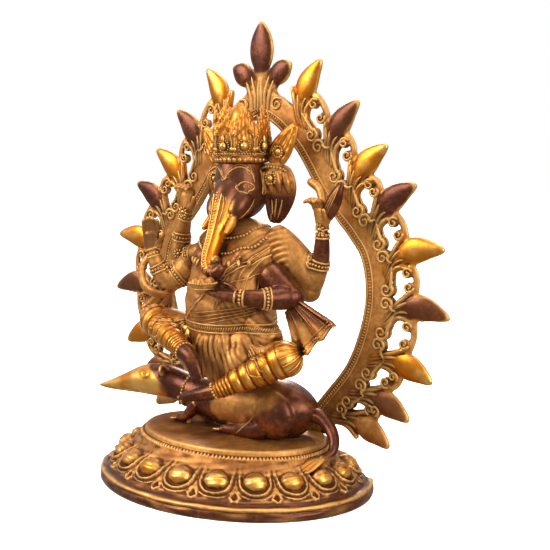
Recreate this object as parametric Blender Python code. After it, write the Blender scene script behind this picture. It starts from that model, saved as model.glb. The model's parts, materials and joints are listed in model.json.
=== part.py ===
"""Brass statue of an elephant-headed figure seated on a rat, on a lotus base, with a flame aureole.

The statue is built as it is cast and fitted: each casting is its own object, cut to seat on the castings
it touches with FIT_GAP all round, and keyed to them by spigots in sockets, a tie rod and rivets. The aureole
stands on two tenons and lifts out of the base. Front is -Y, up is +Z, and the base stands on z = 0.
"""

import math

import bmesh
import bpy
from mathutils import Matrix, Vector
from mathutils.bvhtree import BVHTree

MM = 0.001

# Fits
FIT_GAP = 0.3 * MM
SPIGOT_RADIUS = 2.4 * MM
SPIGOT_DEPTH = 6.0 * MM

# Lotus base: an oval with a flat back, hollow underneath
BASE_HALF_WIDTH = 97.5 * MM
BASE_HALF_DEPTH = 76.0 * MM
BASE_FLAT_BACK = 35.0 * MM
RIM_HEIGHT = 7.0 * MM
PETAL_INSET = 7.0 * MM
PETAL_FOOT = 10.5 * MM
RING_INSET = 28.5 * MM
RING_HEIGHT = 29.0 * MM
PLATE_TOP = 34.0 * MM
PLATE_THICKNESS = 5.0 * MM
BASE_WALL = 4.0 * MM
PETAL_COUNT = 20
PETAL_TURN = 0.35
PETAL_HALF_WIDTH = 9.8 * MM
PETAL_HALF_LENGTH = 12.5 * MM

# Rat: the figure's mount, its back level with the seat
RAT_BACK_HEIGHT = 36.0 * MM
RAT_CENTRE_Y = 26.0 * MM
RAT_GIRTH = 1.0
TAIL_RADIUS = 3.6 * MM

# Seated figure, measured up from the seat
FIGURE_Y = 28.0 * MM
HIP_HALF_WIDTH = 34.0 * MM
BELLY_HALF_WIDTH = 32.0 * MM
BELLY_HALF_DEPTH = 27.0 * MM
SHOULDER_HALF_WIDTH = 34.0 * MM
SHOULDER_HEIGHT = 84.0 * MM
NECK_RADIUS = 12.5 * MM
HEAD_HALF_WIDTH = 18.0 * MM
HEAD_HALF_HEIGHT = 19.5 * MM
HEAD_RISE = 34.0 * MM
TRUNK_RADIUS = 8.8 * MM
EAR_SPAN = 22.0 * MM
EAR_THICKNESS = 3.2 * MM
ARM_RADIUS = 7.8 * MM
WRIST_RADIUS = 4.2 * MM
HAND_LENGTH = 13.0 * MM
KNEE_RADIUS = 13.0 * MM
ANKLE_RADIUS = 6.5 * MM
LEG_BANDS = 5
BAND_SWELL = 0.9 * MM
CLOTH_FOLDS = 5
CLOTH_PITCH = 5.2 * MM
CLOTH_MIDDLE = 4.0 * MM
SASH_THICKNESS = 1.8 * MM
BOWL_RADIUS = 8.5 * MM

# Crown
CROWN_RADIUS = 18.0 * MM
CROWN_BAND_HEIGHT = 10.0 * MM
CROWN_LEAF_HEIGHT = 32.0 * MM
CROWN_LEAF_HALF_WIDTH = 8.6 * MM
CROWN_LEAF_COUNT = 7

# Aureole: an openwork band with flames, standing at the back of the base
AUREOLE_Y = 51.0 * MM
AUREOLE_HALF_SPAN = 92.0 * MM
AUREOLE_APEX = 246.0 * MM
AUREOLE_BAND_HALF_WIDTH = 9.0 * MM
AUREOLE_THICKNESS = 5.0 * MM
FLAME_LENGTH = 41.0 * MM
FLAME_HALF_WIDTH = 7.4 * MM
FLAME_COUNT = 9
LINK_RADIUS = 1.9 * MM
FINIAL_HEIGHT = 51.0 * MM
TENON_HALF_WIDTH = 5.0 * MM
TENON_THICKNESS = 3.6 * MM
TENON_DEPTH = 11.0 * MM

# Tie rod that draws figure, rat and base together, and the rat's two rivets
TIE_ROD_RADIUS = 3.0 * MM
TIE_ROD_REACH = 12.0 * MM
WASHER_RADIUS = 7.0 * MM
WASHER_THICKNESS = 1.0 * MM
NUT_RADIUS = 5.6 * MM
NUT_HEIGHT = 4.0 * MM
RIVET_RADIUS = 1.6 * MM
RIVET_HEAD_RADIUS = 3.2 * MM
RIVET_HEAD_HEIGHT = 1.6 * MM

BASE_CENTRE_Y = (BASE_HALF_DEPTH - BASE_FLAT_BACK) / 2
BASE_BACK_Y = BASE_CENTRE_Y + BASE_FLAT_BACK
SEAT_Z = PLATE_TOP + RAT_BACK_HEIGHT + 2.0 * MM
NECK_TOP = SHOULDER_HEIGHT + 15.0 * MM
HEAD_CENTRE = Vector((1.0 * MM, 0.5 * MM, SHOULDER_HEIGHT + HEAD_RISE))
CROWN_FOOT = HEAD_CENTRE.z + 17.0 * MM

placed = []


def clear_scene():
    for old in list(bpy.data.objects):
        bpy.data.objects.remove(old)


def finish(name, colour, roughness):
    """A brass finish: its colour and how polished it is."""
    material = bpy.data.materials.new(name)
    material.use_nodes = True
    shader = material.node_tree.nodes["Principled BSDF"]
    shader.inputs["Base Color"].default_value = (*colour, 1.0)
    shader.inputs["Roughness"].default_value = roughness
    shader.inputs["Metallic"].default_value = 1.0
    return material


# Meshes


def object_from(bm, name, turn_out=True):
    """A closed mesh as an object with smooth shading and outward faces."""
    if turn_out:
        bmesh.ops.recalc_face_normals(bm, faces=bm.faces)
    mesh = bpy.data.meshes.new(name)
    bm.to_mesh(mesh)
    bm.free()
    mesh.shade_smooth()
    mesh.set_sharp_from_angle(angle=math.radians(40))
    made = bpy.data.objects.new(name, mesh)
    bpy.context.scene.collection.objects.link(made)
    return made


def skin_rings(name, rings, first_pole=None, last_pole=None):
    """A closed skin over rings of points, each end closed by a flat cap or a fan to a pole."""
    bm = bmesh.new()
    loops = [[bm.verts.new(point) for point in ring] for ring in rings]
    for lower, upper in zip(loops, loops[1:]):
        for i in range(len(lower)):
            j = (i + 1) % len(lower)
            bm.faces.new((lower[i], lower[j], upper[j], upper[i]))
    for loop, pole in ((loops[0], first_pole), (loops[-1], last_pole)):
        if pole is None:
            bm.faces.new(loop)
            continue
        tip = bm.verts.new(pole)
        for i in range(len(loop)):
            bm.faces.new((loop[i], loop[(i + 1) % len(loop)], tip))
    return object_from(bm, name)


def spline(points, steps):
    """Catmull-Rom values through points of any length, steps to each span."""
    padded = [points[0], *points, points[-1]]
    values = []
    for a, b, c, d in zip(padded, padded[1:], padded[2:], padded[3:]):
        for step in range(steps):
            t = step / steps
            values.append([
                0.5 * (2 * q + (r - p) * t + (2 * p - 5 * q + 4 * r - s) * t * t
                       + (3 * q - p - 3 * r + s) * t ** 3)
                for p, q, r, s in zip(a, b, c, d)
            ])
    values.append(list(points[-1]))
    return values


def sweep(name, stations, sides, across, round_ends=True, squareness=1.0):
    """A tube along stations (x, y, z, half width along across, half thickness), its ends rounded off."""
    centres = [Vector(s[:3]) for s in stations]
    rings = []
    for i, station in enumerate(stations):
        tangent = (centres[min(i + 1, len(centres) - 1)] - centres[max(i - 1, 0)]).normalized()
        wide = (across - across.dot(tangent) * tangent).normalized()
        thick = tangent.cross(wide)
        ring = []
        for k in range(sides):
            turn = 2 * math.pi * (k + 0.5) / sides
            u, v = math.cos(turn), math.sin(turn)
            u = math.copysign(abs(u) ** squareness, u)
            v = math.copysign(abs(v) ** squareness, v)
            ring.append(centres[i] + wide * (u * station[3]) + thick * (v * station[4]))
        rings.append(ring)
    if not round_ends:
        return skin_rings(name, rings)
    first = centres[0] + (centres[0] - centres[1]).normalized() * min(stations[0][3:5]) * 0.55
    last = centres[-1] + (centres[-1] - centres[-2]).normalized() * min(stations[-1][3:5]) * 0.55
    return skin_rings(name, rings, first, last)


def limb(name, points, sides=10, steps=2, across=Vector((1, 0.02, 0.03)), dome=0.6):
    """A limb through points (x, y, z, half width[, half thickness]), its ends domed."""
    full = [(*p, p[3]) if len(p) == 4 else p for p in points]
    stations = spline(full, steps)
    for end, before in ((0, 1), (-1, -2)):
        last = stations[end]
        out = (Vector(last[:3]) - Vector(stations[before][:3])).normalized() * min(last[3:5]) * dome
        cap = [*(Vector(last[:3]) + out), last[3] * 0.75, last[4] * 0.75]
        if dome:
            stations.insert(0 if end == 0 else len(stations), cap)
    return sweep(name, stations, sides, across)


def ellipsoid(name, centre, radii, segments=12, rings=8, turn=None):
    bm = bmesh.new()
    bmesh.ops.create_uvsphere(bm, u_segments=segments, v_segments=rings, radius=1)
    bmesh.ops.scale(bm, vec=radii, verts=bm.verts)
    if turn:
        bmesh.ops.rotate(bm, cent=(0, 0, 0), matrix=turn, verts=bm.verts)
    bmesh.ops.translate(bm, vec=centre, verts=bm.verts)
    return object_from(bm, name)


def cylinder(name, foot, direction, radius, length, sides=16):
    """A round bar from foot along direction."""
    bm = bmesh.new()
    bmesh.ops.create_cone(
        bm, cap_ends=True, segments=sides, radius1=radius, radius2=radius, depth=length
    )
    direction = Vector(direction).normalized()
    turn = direction.to_track_quat("Z", "Y").to_matrix().to_4x4()
    middle = Vector(foot) + direction * length / 2
    bmesh.ops.transform(bm, matrix=Matrix.Translation(middle) @ turn, verts=bm.verts)
    return object_from(bm, name)


def box(name, low, high):
    bm = bmesh.new()
    bmesh.ops.create_cube(bm, size=1)
    low, high = Vector(low), Vector(high)
    bmesh.ops.scale(bm, vec=high - low, verts=bm.verts)
    bmesh.ops.translate(bm, vec=(low + high) / 2, verts=bm.verts)
    return object_from(bm, name)


# Joining, cutting and seating


def combine(target, tool, operation):
    """Applies a Boolean of tool to target and removes tool."""
    modifier = target.modifiers.new(operation, "BOOLEAN")
    modifier.object = tool
    modifier.operation = operation
    modifier.solver = "MANIFOLD"
    bpy.context.view_layer.objects.active = target
    bpy.ops.object.modifier_apply(modifier=modifier.name)
    bpy.data.objects.remove(tool)
    return target


def fused(name, shapes):
    """Shapes cast as one piece."""
    piece = shapes[0]
    for shape in shapes[1:]:
        combine(piece, shape, "UNION")
    piece.name = name
    return piece


def keep_largest(piece):
    """Leaves out the offcuts of a cut."""
    bm = bmesh.new()
    bm.from_mesh(piece.data)
    islands, seen = [], set()
    for start in bm.faces:
        if start in seen:
            continue
        island, stack = [], [start]
        seen.add(start)
        while stack:
            face = stack.pop()
            island.append(face)
            for edge in face.edges:
                for other in edge.link_faces:
                    if other not in seen:
                        seen.add(other)
                        stack.append(other)
        islands.append(island)
    islands.sort(key=lambda faces: sum(face.calc_area() for face in faces))
    for island in islands[:-1]:
        bmesh.ops.delete(bm, geom=island, context="FACES")
    if len(islands) > 1:
        bm.to_mesh(piece.data)
    bm.free()


def inflated(piece):
    """A copy of a piece that is FIT_GAP larger all round, to cut its neighbour's seat."""
    bm = bmesh.new()
    bm.from_mesh(piece.data)
    bm.normal_update()
    moves = [(v, v.normal * (FIT_GAP * min(v.calc_shell_factor(), 1.6))) for v in bm.verts]
    for vertex, move in moves:
        vertex.co += move
    return object_from(bm, piece.name + "_seat", turn_out=False)


def shifted(piece, move):
    """A copy of a piece moved aside, to widen a seat on that side."""
    bm = bmesh.new()
    bm.from_mesh(piece.data)
    bmesh.ops.translate(bm, vec=move, verts=bm.verts)
    return object_from(bm, piece.name + "_seat", turn_out=False)


def touching(piece, other):
    """Whether the surfaces of two pieces cross."""
    bpy.context.view_layer.update()
    graph = bpy.context.evaluated_depsgraph_get()
    return BVHTree.FromObject(piece, graph).overlap(BVHTree.FromObject(other, graph))


def place(piece, material, fettle=True):
    """Adds a piece to the statue, a casting cut to seat on those already placed."""
    for other in placed if fettle else ():
        seat = inflated(other)
        if touching(piece, seat):
            combine(piece, seat, "DIFFERENCE")
            keep_largest(piece)
        else:
            bpy.data.objects.remove(seat)
        if touching(piece, other):
            for axis in range(3):
                for way in (-FIT_GAP, FIT_GAP):
                    move = Vector((0, 0, 0))
                    move[axis] = way
                    combine(piece, shifted(other, move), "DIFFERENCE")
            keep_largest(piece)
    piece.data.shade_smooth()
    piece.data.set_sharp_from_angle(angle=math.radians(40))
    piece.data.materials.clear()
    piece.data.materials.append(material)
    placed.append(piece)
    return piece


def spigot(child, parent, point, inward, radius=SPIGOT_RADIUS, depth=SPIGOT_DEPTH, root=SPIGOT_DEPTH):
    """Keys child to parent by a round spigot that reaches depth into a socket."""
    inward = Vector(inward).normalized()
    start = Vector(point) - inward * root
    bore = radius + 3 * FIT_GAP
    length = root + depth
    combine(parent, cylinder("socket", start, inward, bore, length + 3 * FIT_GAP, 10), "DIFFERENCE")
    combine(child, cylinder("pin", start, inward, radius, length, 10), "UNION")
    keep_largest(parent)


def drill(piece, x, y, low, high, radius):
    combine(piece, cylinder("drill", (x, y, low), (0, 0, 1), radius, high - low, 12), "DIFFERENCE")


def seat_point(x, y, z):
    """A point of the figure, given in millimetres from the middle of its seat."""
    return Vector((x * MM, FIGURE_Y + y * MM, SEAT_Z + z * MM))


def figure_points(rows):
    """Rows of (point, half width[, half thickness]) as stations."""
    return [(*point, *sizes) for point, *sizes in rows]


# Lotus base


def oval(inset, height, count):
    """A ring of points on the base's oval, drawn in by inset."""
    ring = []
    for k in range(count):
        turn = 2 * math.pi * k / count
        x = (BASE_HALF_WIDTH - inset) * math.cos(turn)
        y = BASE_CENTRE_Y + (BASE_HALF_DEPTH - inset) * math.sin(turn)
        ring.append(Vector((x, y, height)))
    return ring


def petal_frame(turn):
    """Middle of the petal slope at an angle round the oval, with its along, up-slope and outward axes."""
    inset = (PETAL_INSET + RING_INSET) / 2
    wide, deep = BASE_HALF_WIDTH - inset, BASE_HALF_DEPTH - inset
    height = (PETAL_FOOT + RING_HEIGHT) / 2
    point = Vector((wide * math.cos(turn), BASE_CENTRE_Y + deep * math.sin(turn), height))
    along = Vector((-wide * math.sin(turn), deep * math.cos(turn), 0)).normalized()
    outside = Vector((along.y, -along.x, 0))
    slope = (Vector((0, 0, RING_HEIGHT - PETAL_FOOT)) - outside * (RING_INSET - PETAL_INSET)).normalized()
    return point, along, slope, along.cross(slope)


def petals():
    """Lotus petals round the slope, each a flat lobe with a raised boss, as one mesh."""
    shapes = []
    for k in range(PETAL_COUNT):
        turn = 2 * math.pi * (k + PETAL_TURN) / PETAL_COUNT
        point, along, slope, out = petal_frame(turn)
        if point.y > BASE_BACK_Y - PETAL_HALF_WIDTH:
            continue
        axes = Matrix((along, slope, out)).transposed()
        lobe = (PETAL_HALF_WIDTH, PETAL_HALF_LENGTH, 2.6 * MM)
        boss = (PETAL_HALF_WIDTH * 0.66, PETAL_HALF_LENGTH * 0.54, 4.6 * MM)
        shapes.append(ellipsoid("lobe", point - slope * 1.0 * MM, lobe, 7, 4, axes))
        shapes.append(ellipsoid("boss", point + slope * 1.5 * MM + out * 1.2 * MM, boss, 7, 4, axes))
    return shapes


def lotus_base(material):
    profile = (
        (0.6 * MM, 0.0),
        (0.0, 1.5 * MM),
        (0.0, RIM_HEIGHT - 1.0 * MM),
        (1.5 * MM, RIM_HEIGHT),
        (PETAL_INSET - 3.0 * MM, RIM_HEIGHT + 0.5 * MM),
        (PETAL_INSET - 1.0 * MM, PETAL_FOOT),
        (PETAL_INSET + 2.0 * MM, PETAL_FOOT + 3.5 * MM),
        (RING_INSET - 1.5 * MM, RING_HEIGHT - 2.0 * MM),
        (RING_INSET - 1.5 * MM, RING_HEIGHT),
        (RING_INSET + 1.5 * MM, RING_HEIGHT + 0.3 * MM),
        (RING_INSET + 2.5 * MM, PLATE_TOP - 1.2 * MM),
        (RING_INSET + 4.0 * MM, PLATE_TOP),
    )
    piece = skin_rings("lotus_base", [oval(inset, height, 32) for inset, height in profile])
    for shape in petals():
        combine(piece, shape, "UNION")
    reach = 2 * BASE_HALF_WIDTH
    behind = box("behind", (-reach, BASE_BACK_Y, -reach), (reach, reach, reach))
    combine(piece, behind, "DIFFERENCE")
    hollow = (
        (BASE_WALL, -1.0 * MM),
        (BASE_WALL, RIM_HEIGHT - 2.0 * MM),
        (PETAL_INSET + BASE_WALL, PETAL_FOOT),
        (RING_INSET + BASE_WALL, PLATE_TOP - PLATE_THICKNESS - 2.0 * MM),
        (RING_INSET + 2 * BASE_WALL, PLATE_TOP - PLATE_THICKNESS),
    )
    inside = skin_rings("inside", [oval(inset, height, 24) for inset, height in hollow])
    back_wall = box("back_wall", (-reach, BASE_BACK_Y - BASE_WALL, -reach), (reach, reach, reach))
    combine(inside, back_wall, "DIFFERENCE")
    wall = 2.5 * MM
    for side in (-1, 1):
        x = side * aureole_foot().x
        front = AUREOLE_Y - TENON_THICKNESS / 2 - wall
        low = (x - TENON_HALF_WIDTH - wall, front, PLATE_TOP - TENON_DEPTH - wall)
        high = (x + TENON_HALF_WIDTH + wall, BASE_BACK_Y, PLATE_TOP)
        combine(inside, box("socket_boss", low, high), "DIFFERENCE")
    combine(piece, inside, "DIFFERENCE")
    for side in (-1, 1):
        combine(piece, tenon("mortise", side, FIT_GAP), "DIFFERENCE")
    keep_largest(piece)
    return place(piece, material)


# Rat


def rat_points():
    """Stations from rump to snout: along, off the centre line, above the plate, half width, half height."""
    belly = RAT_BACK_HEIGHT / (36 * MM)
    rows = (
        (61, 2, 14, 2.5, 3), (55, 2, 16, 12.5, 13), (40, 1, 17, 19, 19), (23, 0, 16, 20, 20),
        (4, -1, 16, 17.5, 18), (-15, -1, 16, 15, 15), (-31, -2, 18, 12.5, 13), (-47, -4, 22, 10.5, 11),
        (-61, -7, 24.5, 11.5, 11.8), (-75, -10, 24, 10.2, 10.4), (-91, -13, 20.5, 6.8, 6.8),
        (-105, -15.5, 17.5, 3.8, 3.8), (-116, -17.5, 16, 1.5, 1.5),
    )
    return [
        (x * MM, RAT_CENTRE_Y + y * MM, PLATE_TOP + z * MM * belly, wide * MM * RAT_GIRTH, high * MM * belly)
        for x, y, z, wide, high in rows
    ]


def rat_point(x, y, z):
    return Vector((x * MM, RAT_CENTRE_Y + y * MM, PLATE_TOP + z * MM))


def rat_body(material):
    body = sweep("rat_body", spline(rat_points(), 2), 10, Vector((0, 1, 0)))
    shapes = [body]
    for side in (-1, 1):
        y = 9.0 * side
        foreleg = [(*rat_point(-27, y - 1, 16), 6 * MM), (*rat_point(-32, y * 1.15 - 1, 8), 4.2 * MM),
                   (*rat_point(-39, y * 1.2 - 1, 1.5), 3.2 * MM)]
        shapes.append(limb("foreleg", foreleg, 6, 1))
        hind = [(*rat_point(36, y * 1.4, 14), 9 * MM), (*rat_point(30, y * 1.55, 5), 6 * MM),
                (*rat_point(10, y * 1.8, 2), 3.4 * MM)]
        shapes.append(limb("hind_leg", hind, 6, 1))
        ear = Matrix.Rotation(math.radians(25 * side), 3, "Z")
        centre = rat_point(-56, -6 + y * 0.95, 34)
        shapes.append(ellipsoid("rat_ear", centre, (2.2 * MM, 4.6 * MM, 5.6 * MM), 8, 5, ear))
    return place(fused("rat_body", shapes), material)


def rat_tail(material, rat):
    over = BASE_HALF_WIDTH / MM - 97.5
    path = [(*rat_point(57, 3, 17), TAIL_RADIUS * 1.6), (*rat_point(65, 2.5, 15.5), TAIL_RADIUS * 1.35),
            (*rat_point(73 + over / 2, 0.5, 10.5), TAIL_RADIUS * 1.1),
            (*rat_point(78.5 + over, -3, 4), TAIL_RADIUS * 0.9),
            (*rat_point(80 + over, -8, -2), TAIL_RADIUS * 0.8),
            (*rat_point(74 + over, -16, -6), TAIL_RADIUS * 0.9)]
    piece = limb("rat_tail", path, 6, across=Vector((0, 1, 0.1)))
    spigot(piece, rat, rat_point(58, 3, 15), (-1, 0, 0.05), 2.0 * MM, 5.0 * MM)
    return place(piece, material)


# Figure


def torso_stations():
    """Stations up the body: height, middle front to back, half width and half depth."""
    return (
        (-8 * MM, -2 * MM, HIP_HALF_WIDTH - 8 * MM, 17 * MM),
        (14 * MM, -4 * MM, HIP_HALF_WIDTH, 21 * MM),
        (29 * MM, -8 * MM, (HIP_HALF_WIDTH + BELLY_HALF_WIDTH) / 2, BELLY_HALF_DEPTH - 2 * MM),
        (46 * MM, -10 * MM, BELLY_HALF_WIDTH, BELLY_HALF_DEPTH),
        (60 * MM, -8 * MM, BELLY_HALF_WIDTH - 2 * MM, BELLY_HALF_DEPTH - 2 * MM),
        (SHOULDER_HEIGHT - 10 * MM, -3 * MM, SHOULDER_HALF_WIDTH - 1 * MM, 20 * MM),
        (SHOULDER_HEIGHT, 0, SHOULDER_HALF_WIDTH, 17 * MM),
        (SHOULDER_HEIGHT + 8 * MM, 0.5 * MM, NECK_RADIUS + 14 * MM, 14.5 * MM),
        (NECK_TOP, 0, NECK_RADIUS, NECK_RADIUS - 0.5 * MM),
    )


def torso(material):
    """Hips, belly, chest and shoulders, with the cloth that falls between the legs."""
    rows = [(0, FIGURE_Y + y, SEAT_Z + z, wide, deep) for z, y, wide, deep in torso_stations()]
    shapes = [sweep("torso", rows, 14, Vector((1, 0, 0)), round_ends=False)]
    for k in range(CLOTH_FOLDS):
        spread = k - (CLOTH_FOLDS - 1) / 2
        x = CLOTH_MIDDLE / MM + spread * CLOTH_PITCH / MM
        fold = figure_points((
            (seat_point(x * 0.7, -30, 36), 2.4 * MM), (seat_point(x, -31.5, 22), 3.4 * MM),
            (seat_point(x * 1.1, -30.5, 6), 3.0 * MM),
        ))
        shapes.append(limb("fold", fold, 5, 1))
    return place(fused("torso", shapes), material)


def head(material, body):
    centre = seat_point(0, 0, 0) + HEAD_CENTRE
    skull = ellipsoid("head", centre, (HEAD_HALF_WIDTH, HEAD_HALF_WIDTH * 0.98, HEAD_HALF_HEIGHT), 12, 8)

    def at(x, y, z):
        return centre + Vector((x, y, z)) * MM

    trunk = figure_points((
        (at(0, -6, 6), TRUNK_RADIUS * 1.5), (at(0, -14, -3), TRUNK_RADIUS * 1.3),
        (at(0, -20, -17), TRUNK_RADIUS),
        (at(0, -27, -31), TRUNK_RADIUS * 0.82), (at(1, -33, -42), TRUNK_RADIUS * 0.7),
        (at(6, -37, -50), TRUNK_RADIUS * 0.58), (at(15, -38, -51), TRUNK_RADIUS * 0.48),
    ))
    shapes = [skull, limb("trunk", trunk, 8)]
    for side in (-1, 1):
        cheek = figure_points(((at(side * 9, -10, -6), 8.4 * MM), (at(side * 8, -16, -13), 6.2 * MM)))
        shapes.append(limb("cheek", cheek, 8, 1))
        length = 1.0 if side > 0 else 0.55
        tusk = figure_points((
            (at(side * 9, -18, -14), 3.2 * MM), (at(side * 11, -18 - 7 * length, -19 - 3 * length), 2.4 * MM),
            (at(side * 12, -18 - 13 * length, -20 - 4 * length), 1.1 * MM),
        ))
        shapes.append(limb("tusk", tusk, 5, 1))
    piece = fused("head", shapes)
    spigot(piece, body, seat_point(0, 0, 0) + Vector((0, 0, NECK_TOP)), (0, 0, -1), 5.0 * MM, 8.0 * MM)
    return place(piece, material)


def leaf_outline(t):
    """Half width of a leaf from stem to tip, as a share of its widest."""
    return max(0.02, math.sin(math.pi * t ** 0.8) ** 0.8)


def ear(side, material, skull):
    """A broad hanging ear, cupped forward, its lobe drawn down."""
    centre = seat_point(0, 0, 0) + HEAD_CENTRE
    rows = []
    for k in range(7):
        t = k / 6
        drop = 17 * MM - 37 * MM * t
        swell = math.sin(math.pi * min(1, 0.25 + 0.75 * t)) ** 0.7
        reach = EAR_SPAN * (0.45 + 0.55 * swell) * (1 - 0.55 * t ** 3)
        middle = HEAD_HALF_WIDTH * 0.55 + reach / 2 + 7 * MM * t
        back = 4 * MM + 5 * MM * t
        spot = centre + Vector((side * middle, back, drop))
        rows.append((*spot, reach / 2, EAR_THICKNESS / 2))
    name = "ear_left" if side > 0 else "ear_right"
    piece = sweep(name, rows, 8, Vector((1, 0.3 * side, 0)))
    root = (centre.x + side * HEAD_HALF_WIDTH * 0.86, centre.y + 4 * MM, centre.z + 5 * MM)
    spigot(piece, skull, root, (-side, 0, 0), 1.3 * MM, 5 * MM)
    return place(piece, material)


def hand(wrist, fingers, palm, length, curl):
    """Palm, joined fingers and a thumb; fingers is where they point and palm where it faces."""
    fingers, palm = Vector(fingers).normalized(), Vector(palm).normalized()
    across = fingers.cross(palm)
    # Along the hand: share of its length, half width, half thickness, groove, bend to the palm
    stations = ((-0.1, 0.34, 0.3, 0, 0), (0.45, 0.42, 0.24, 0, 0), (0.9, 0.44, 0.17, 0.1, 0.05),
                (1.35, 0.42, 0.13, 0.5, 0.35), (1.75, 0.34, 0.08, 0.5, 0.95))
    rings = []
    for reach, wide, thick, groove, bend in stations:
        centre = wrist + (fingers * reach * (1 - 0.35 * curl * bend) + palm * curl * bend * 0.7) * length
        ring = []
        for face in (1, -1):
            for k in range(6):
                u = (k - 2.5) / 2.5 * face
                dip = groove if k % 2 == 0 and 0 < k else 0
                edge = 1 - 0.55 * abs(u) ** 3
                ring.append(centre + (across * u * wide + palm * face * thick * edge * (1 - dip)) * length)
        rings.append(ring)
    tip = wrist + (fingers * 1.85 * (1 - 0.35 * curl) + palm * curl * 0.7) * length
    thumb_root = wrist + (fingers * 0.3 + across * 0.3) * length
    thumb_tip = wrist + (fingers * 0.85 + palm * 0.25 + across * 0.62) * length
    thumb = limb("thumb", [(*thumb_root, 2.0 * MM), (*thumb_tip, 1.4 * MM)], 5, 1, fingers)
    return [skin_rings("palm", rings, None, tip), thumb]


def arm(name, rows, fingers, palm, curl, material, body):
    """Upper arm and forearm through the shoulder, elbow and wrist, with its hand."""
    points = figure_points(rows)
    wrist = Vector(points[-1][:3])
    upper, fore = limb(name, points[:2], 7), limb("forearm", points[1:], 7)
    shapes = [upper, fore, *hand(wrist, fingers, palm, HAND_LENGTH, curl)]
    piece = fused(name, shapes)
    shoulder = Vector(points[0][:3])
    spigot(piece, body, shoulder, (-shoulder.x, 0, 0), depth=ARM_RADIUS * 1.4, root=ARM_RADIUS / 2)
    return place(piece, material)


def front_elbow(side):
    """The elbow of a front arm, in millimetres from the seat."""
    reach, top = SHOULDER_HALF_WIDTH / MM, SHOULDER_HEIGHT / MM
    return (reach + 19, -13, top - 31) if side > 0 else (-reach - 11, -20, top - 28)


def arms(material, body):
    reach, top = SHOULDER_HALF_WIDTH / MM, SHOULDER_HEIGHT / MM
    fore = (ARM_RADIUS + WRIST_RADIUS) / 2

    def rows(side, y, drop, elbow, mid, wrist):
        return (
            (seat_point(side * (reach - 1), y, top - drop - 2), ARM_RADIUS * 1.15),
            (seat_point(*elbow), ARM_RADIUS * 0.92),
            (seat_point(*mid), fore),
            (seat_point(*wrist), WRIST_RADIUS),
        )

    rear_left = rows(1, 7, 6, (reach + 17, 7, top - 29), (reach + 26, 6, top - 9), (reach + 29, 4, top + 11))
    rear_right = rows(-1, 7, 6, (-reach - 24, 4, top - 17), (-reach - 20, 3, top + 4),
                      (-reach - 13, 0, top + 19))
    front_left = rows(1, -12, 14, front_elbow(1), (reach + 9, -30, top - 31), (29, -39, top - 30))
    front_right = rows(-1, -12, 14, front_elbow(-1), (-reach - 16, -25, top - 16),
                       (-reach - 19, -27, top - 6))
    arm("arm_rear_left", rear_left, (-0.1, -0.1, 1), (-0.3, -1, 0), 0.6, material, body)
    arm("arm_rear_right", rear_right, (0.15, 0, 1), (0.1, -1, 0), 0.7, material, body)
    arm("arm_front_left", front_left, (-1, -0.25, 0.15), (0.1, -0.2, 1), 0.25, material, body)
    arm("arm_front_right", front_right, (0, -0.05, 1), (0.5, -1, 0), 0.1, material, body)


def leg(name, rows, foot_rows, material, body):
    """Thigh and shin in banded cloth through the hip, knee and ankle, with its foot."""
    thigh_hip, knee, ankle = figure_points(rows)
    shin = [(*knee[:4], knee[3])]
    for k in range(1, LEG_BANDS * 2):
        t = k / (LEG_BANDS * 2)
        centre = [a + (b - a) * t for a, b in zip(knee[:3], ankle[:3])]
        girth = knee[3] + (ankle[3] - knee[3]) * t ** 0.8 + (BAND_SWELL if k % 2 else -BAND_SWELL)
        shin.append((*centre, girth, girth))
    shin.append((*ankle[:4], ankle[3]))
    calf = limb(name, shin, 9, 1, Vector((0.1, 1, 0.2)))
    thigh = limb("thigh", [thigh_hip, knee], 9, 2, Vector((0.1, 1, 0.2)))
    foot = limb("foot", figure_points(foot_rows), 7, 2)
    piece = fused(name, [thigh, calf, foot])
    hip = Vector(thigh_hip[:3])
    spigot(piece, body, (hip + Vector(knee[:3])) * 0.5, hip - Vector(knee[:3]))
    return place(piece, material)


def legs(material, body):
    hip = HIP_HALF_WIDTH / MM
    left = ((seat_point(hip * 0.45, -10, 16), KNEE_RADIUS * 1.3),
            (seat_point(hip + 20, -22, 16), KNEE_RADIUS),
            (seat_point(18, -43, -4), ANKLE_RADIUS))
    left_foot = ((seat_point(20, -43, -4), ANKLE_RADIUS * 0.9, 5.5 * MM),
                 (seat_point(8, -45, -7), 5.5 * MM, 4.6 * MM),
                 (seat_point(-6, -46, -11), 4.6 * MM, 3.0 * MM))
    leg("leg_left", left, left_foot, material, body)
    right = ((seat_point(-hip * 0.45, -10, 18), KNEE_RADIUS * 1.3),
             (seat_point(-hip - 23, -21, 30), KNEE_RADIUS),
             (seat_point(-14, -40, 17), ANKLE_RADIUS))
    right_foot = ((seat_point(-16, -40, 18), ANKLE_RADIUS * 0.9, 5.5 * MM),
                  (seat_point(-5, -43, 14), 5.5 * MM, 4.8 * MM),
                  (seat_point(2, -44, 1), 4.6 * MM, 3.4 * MM))
    leg("leg_right", right, right_foot, material, body)


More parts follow.
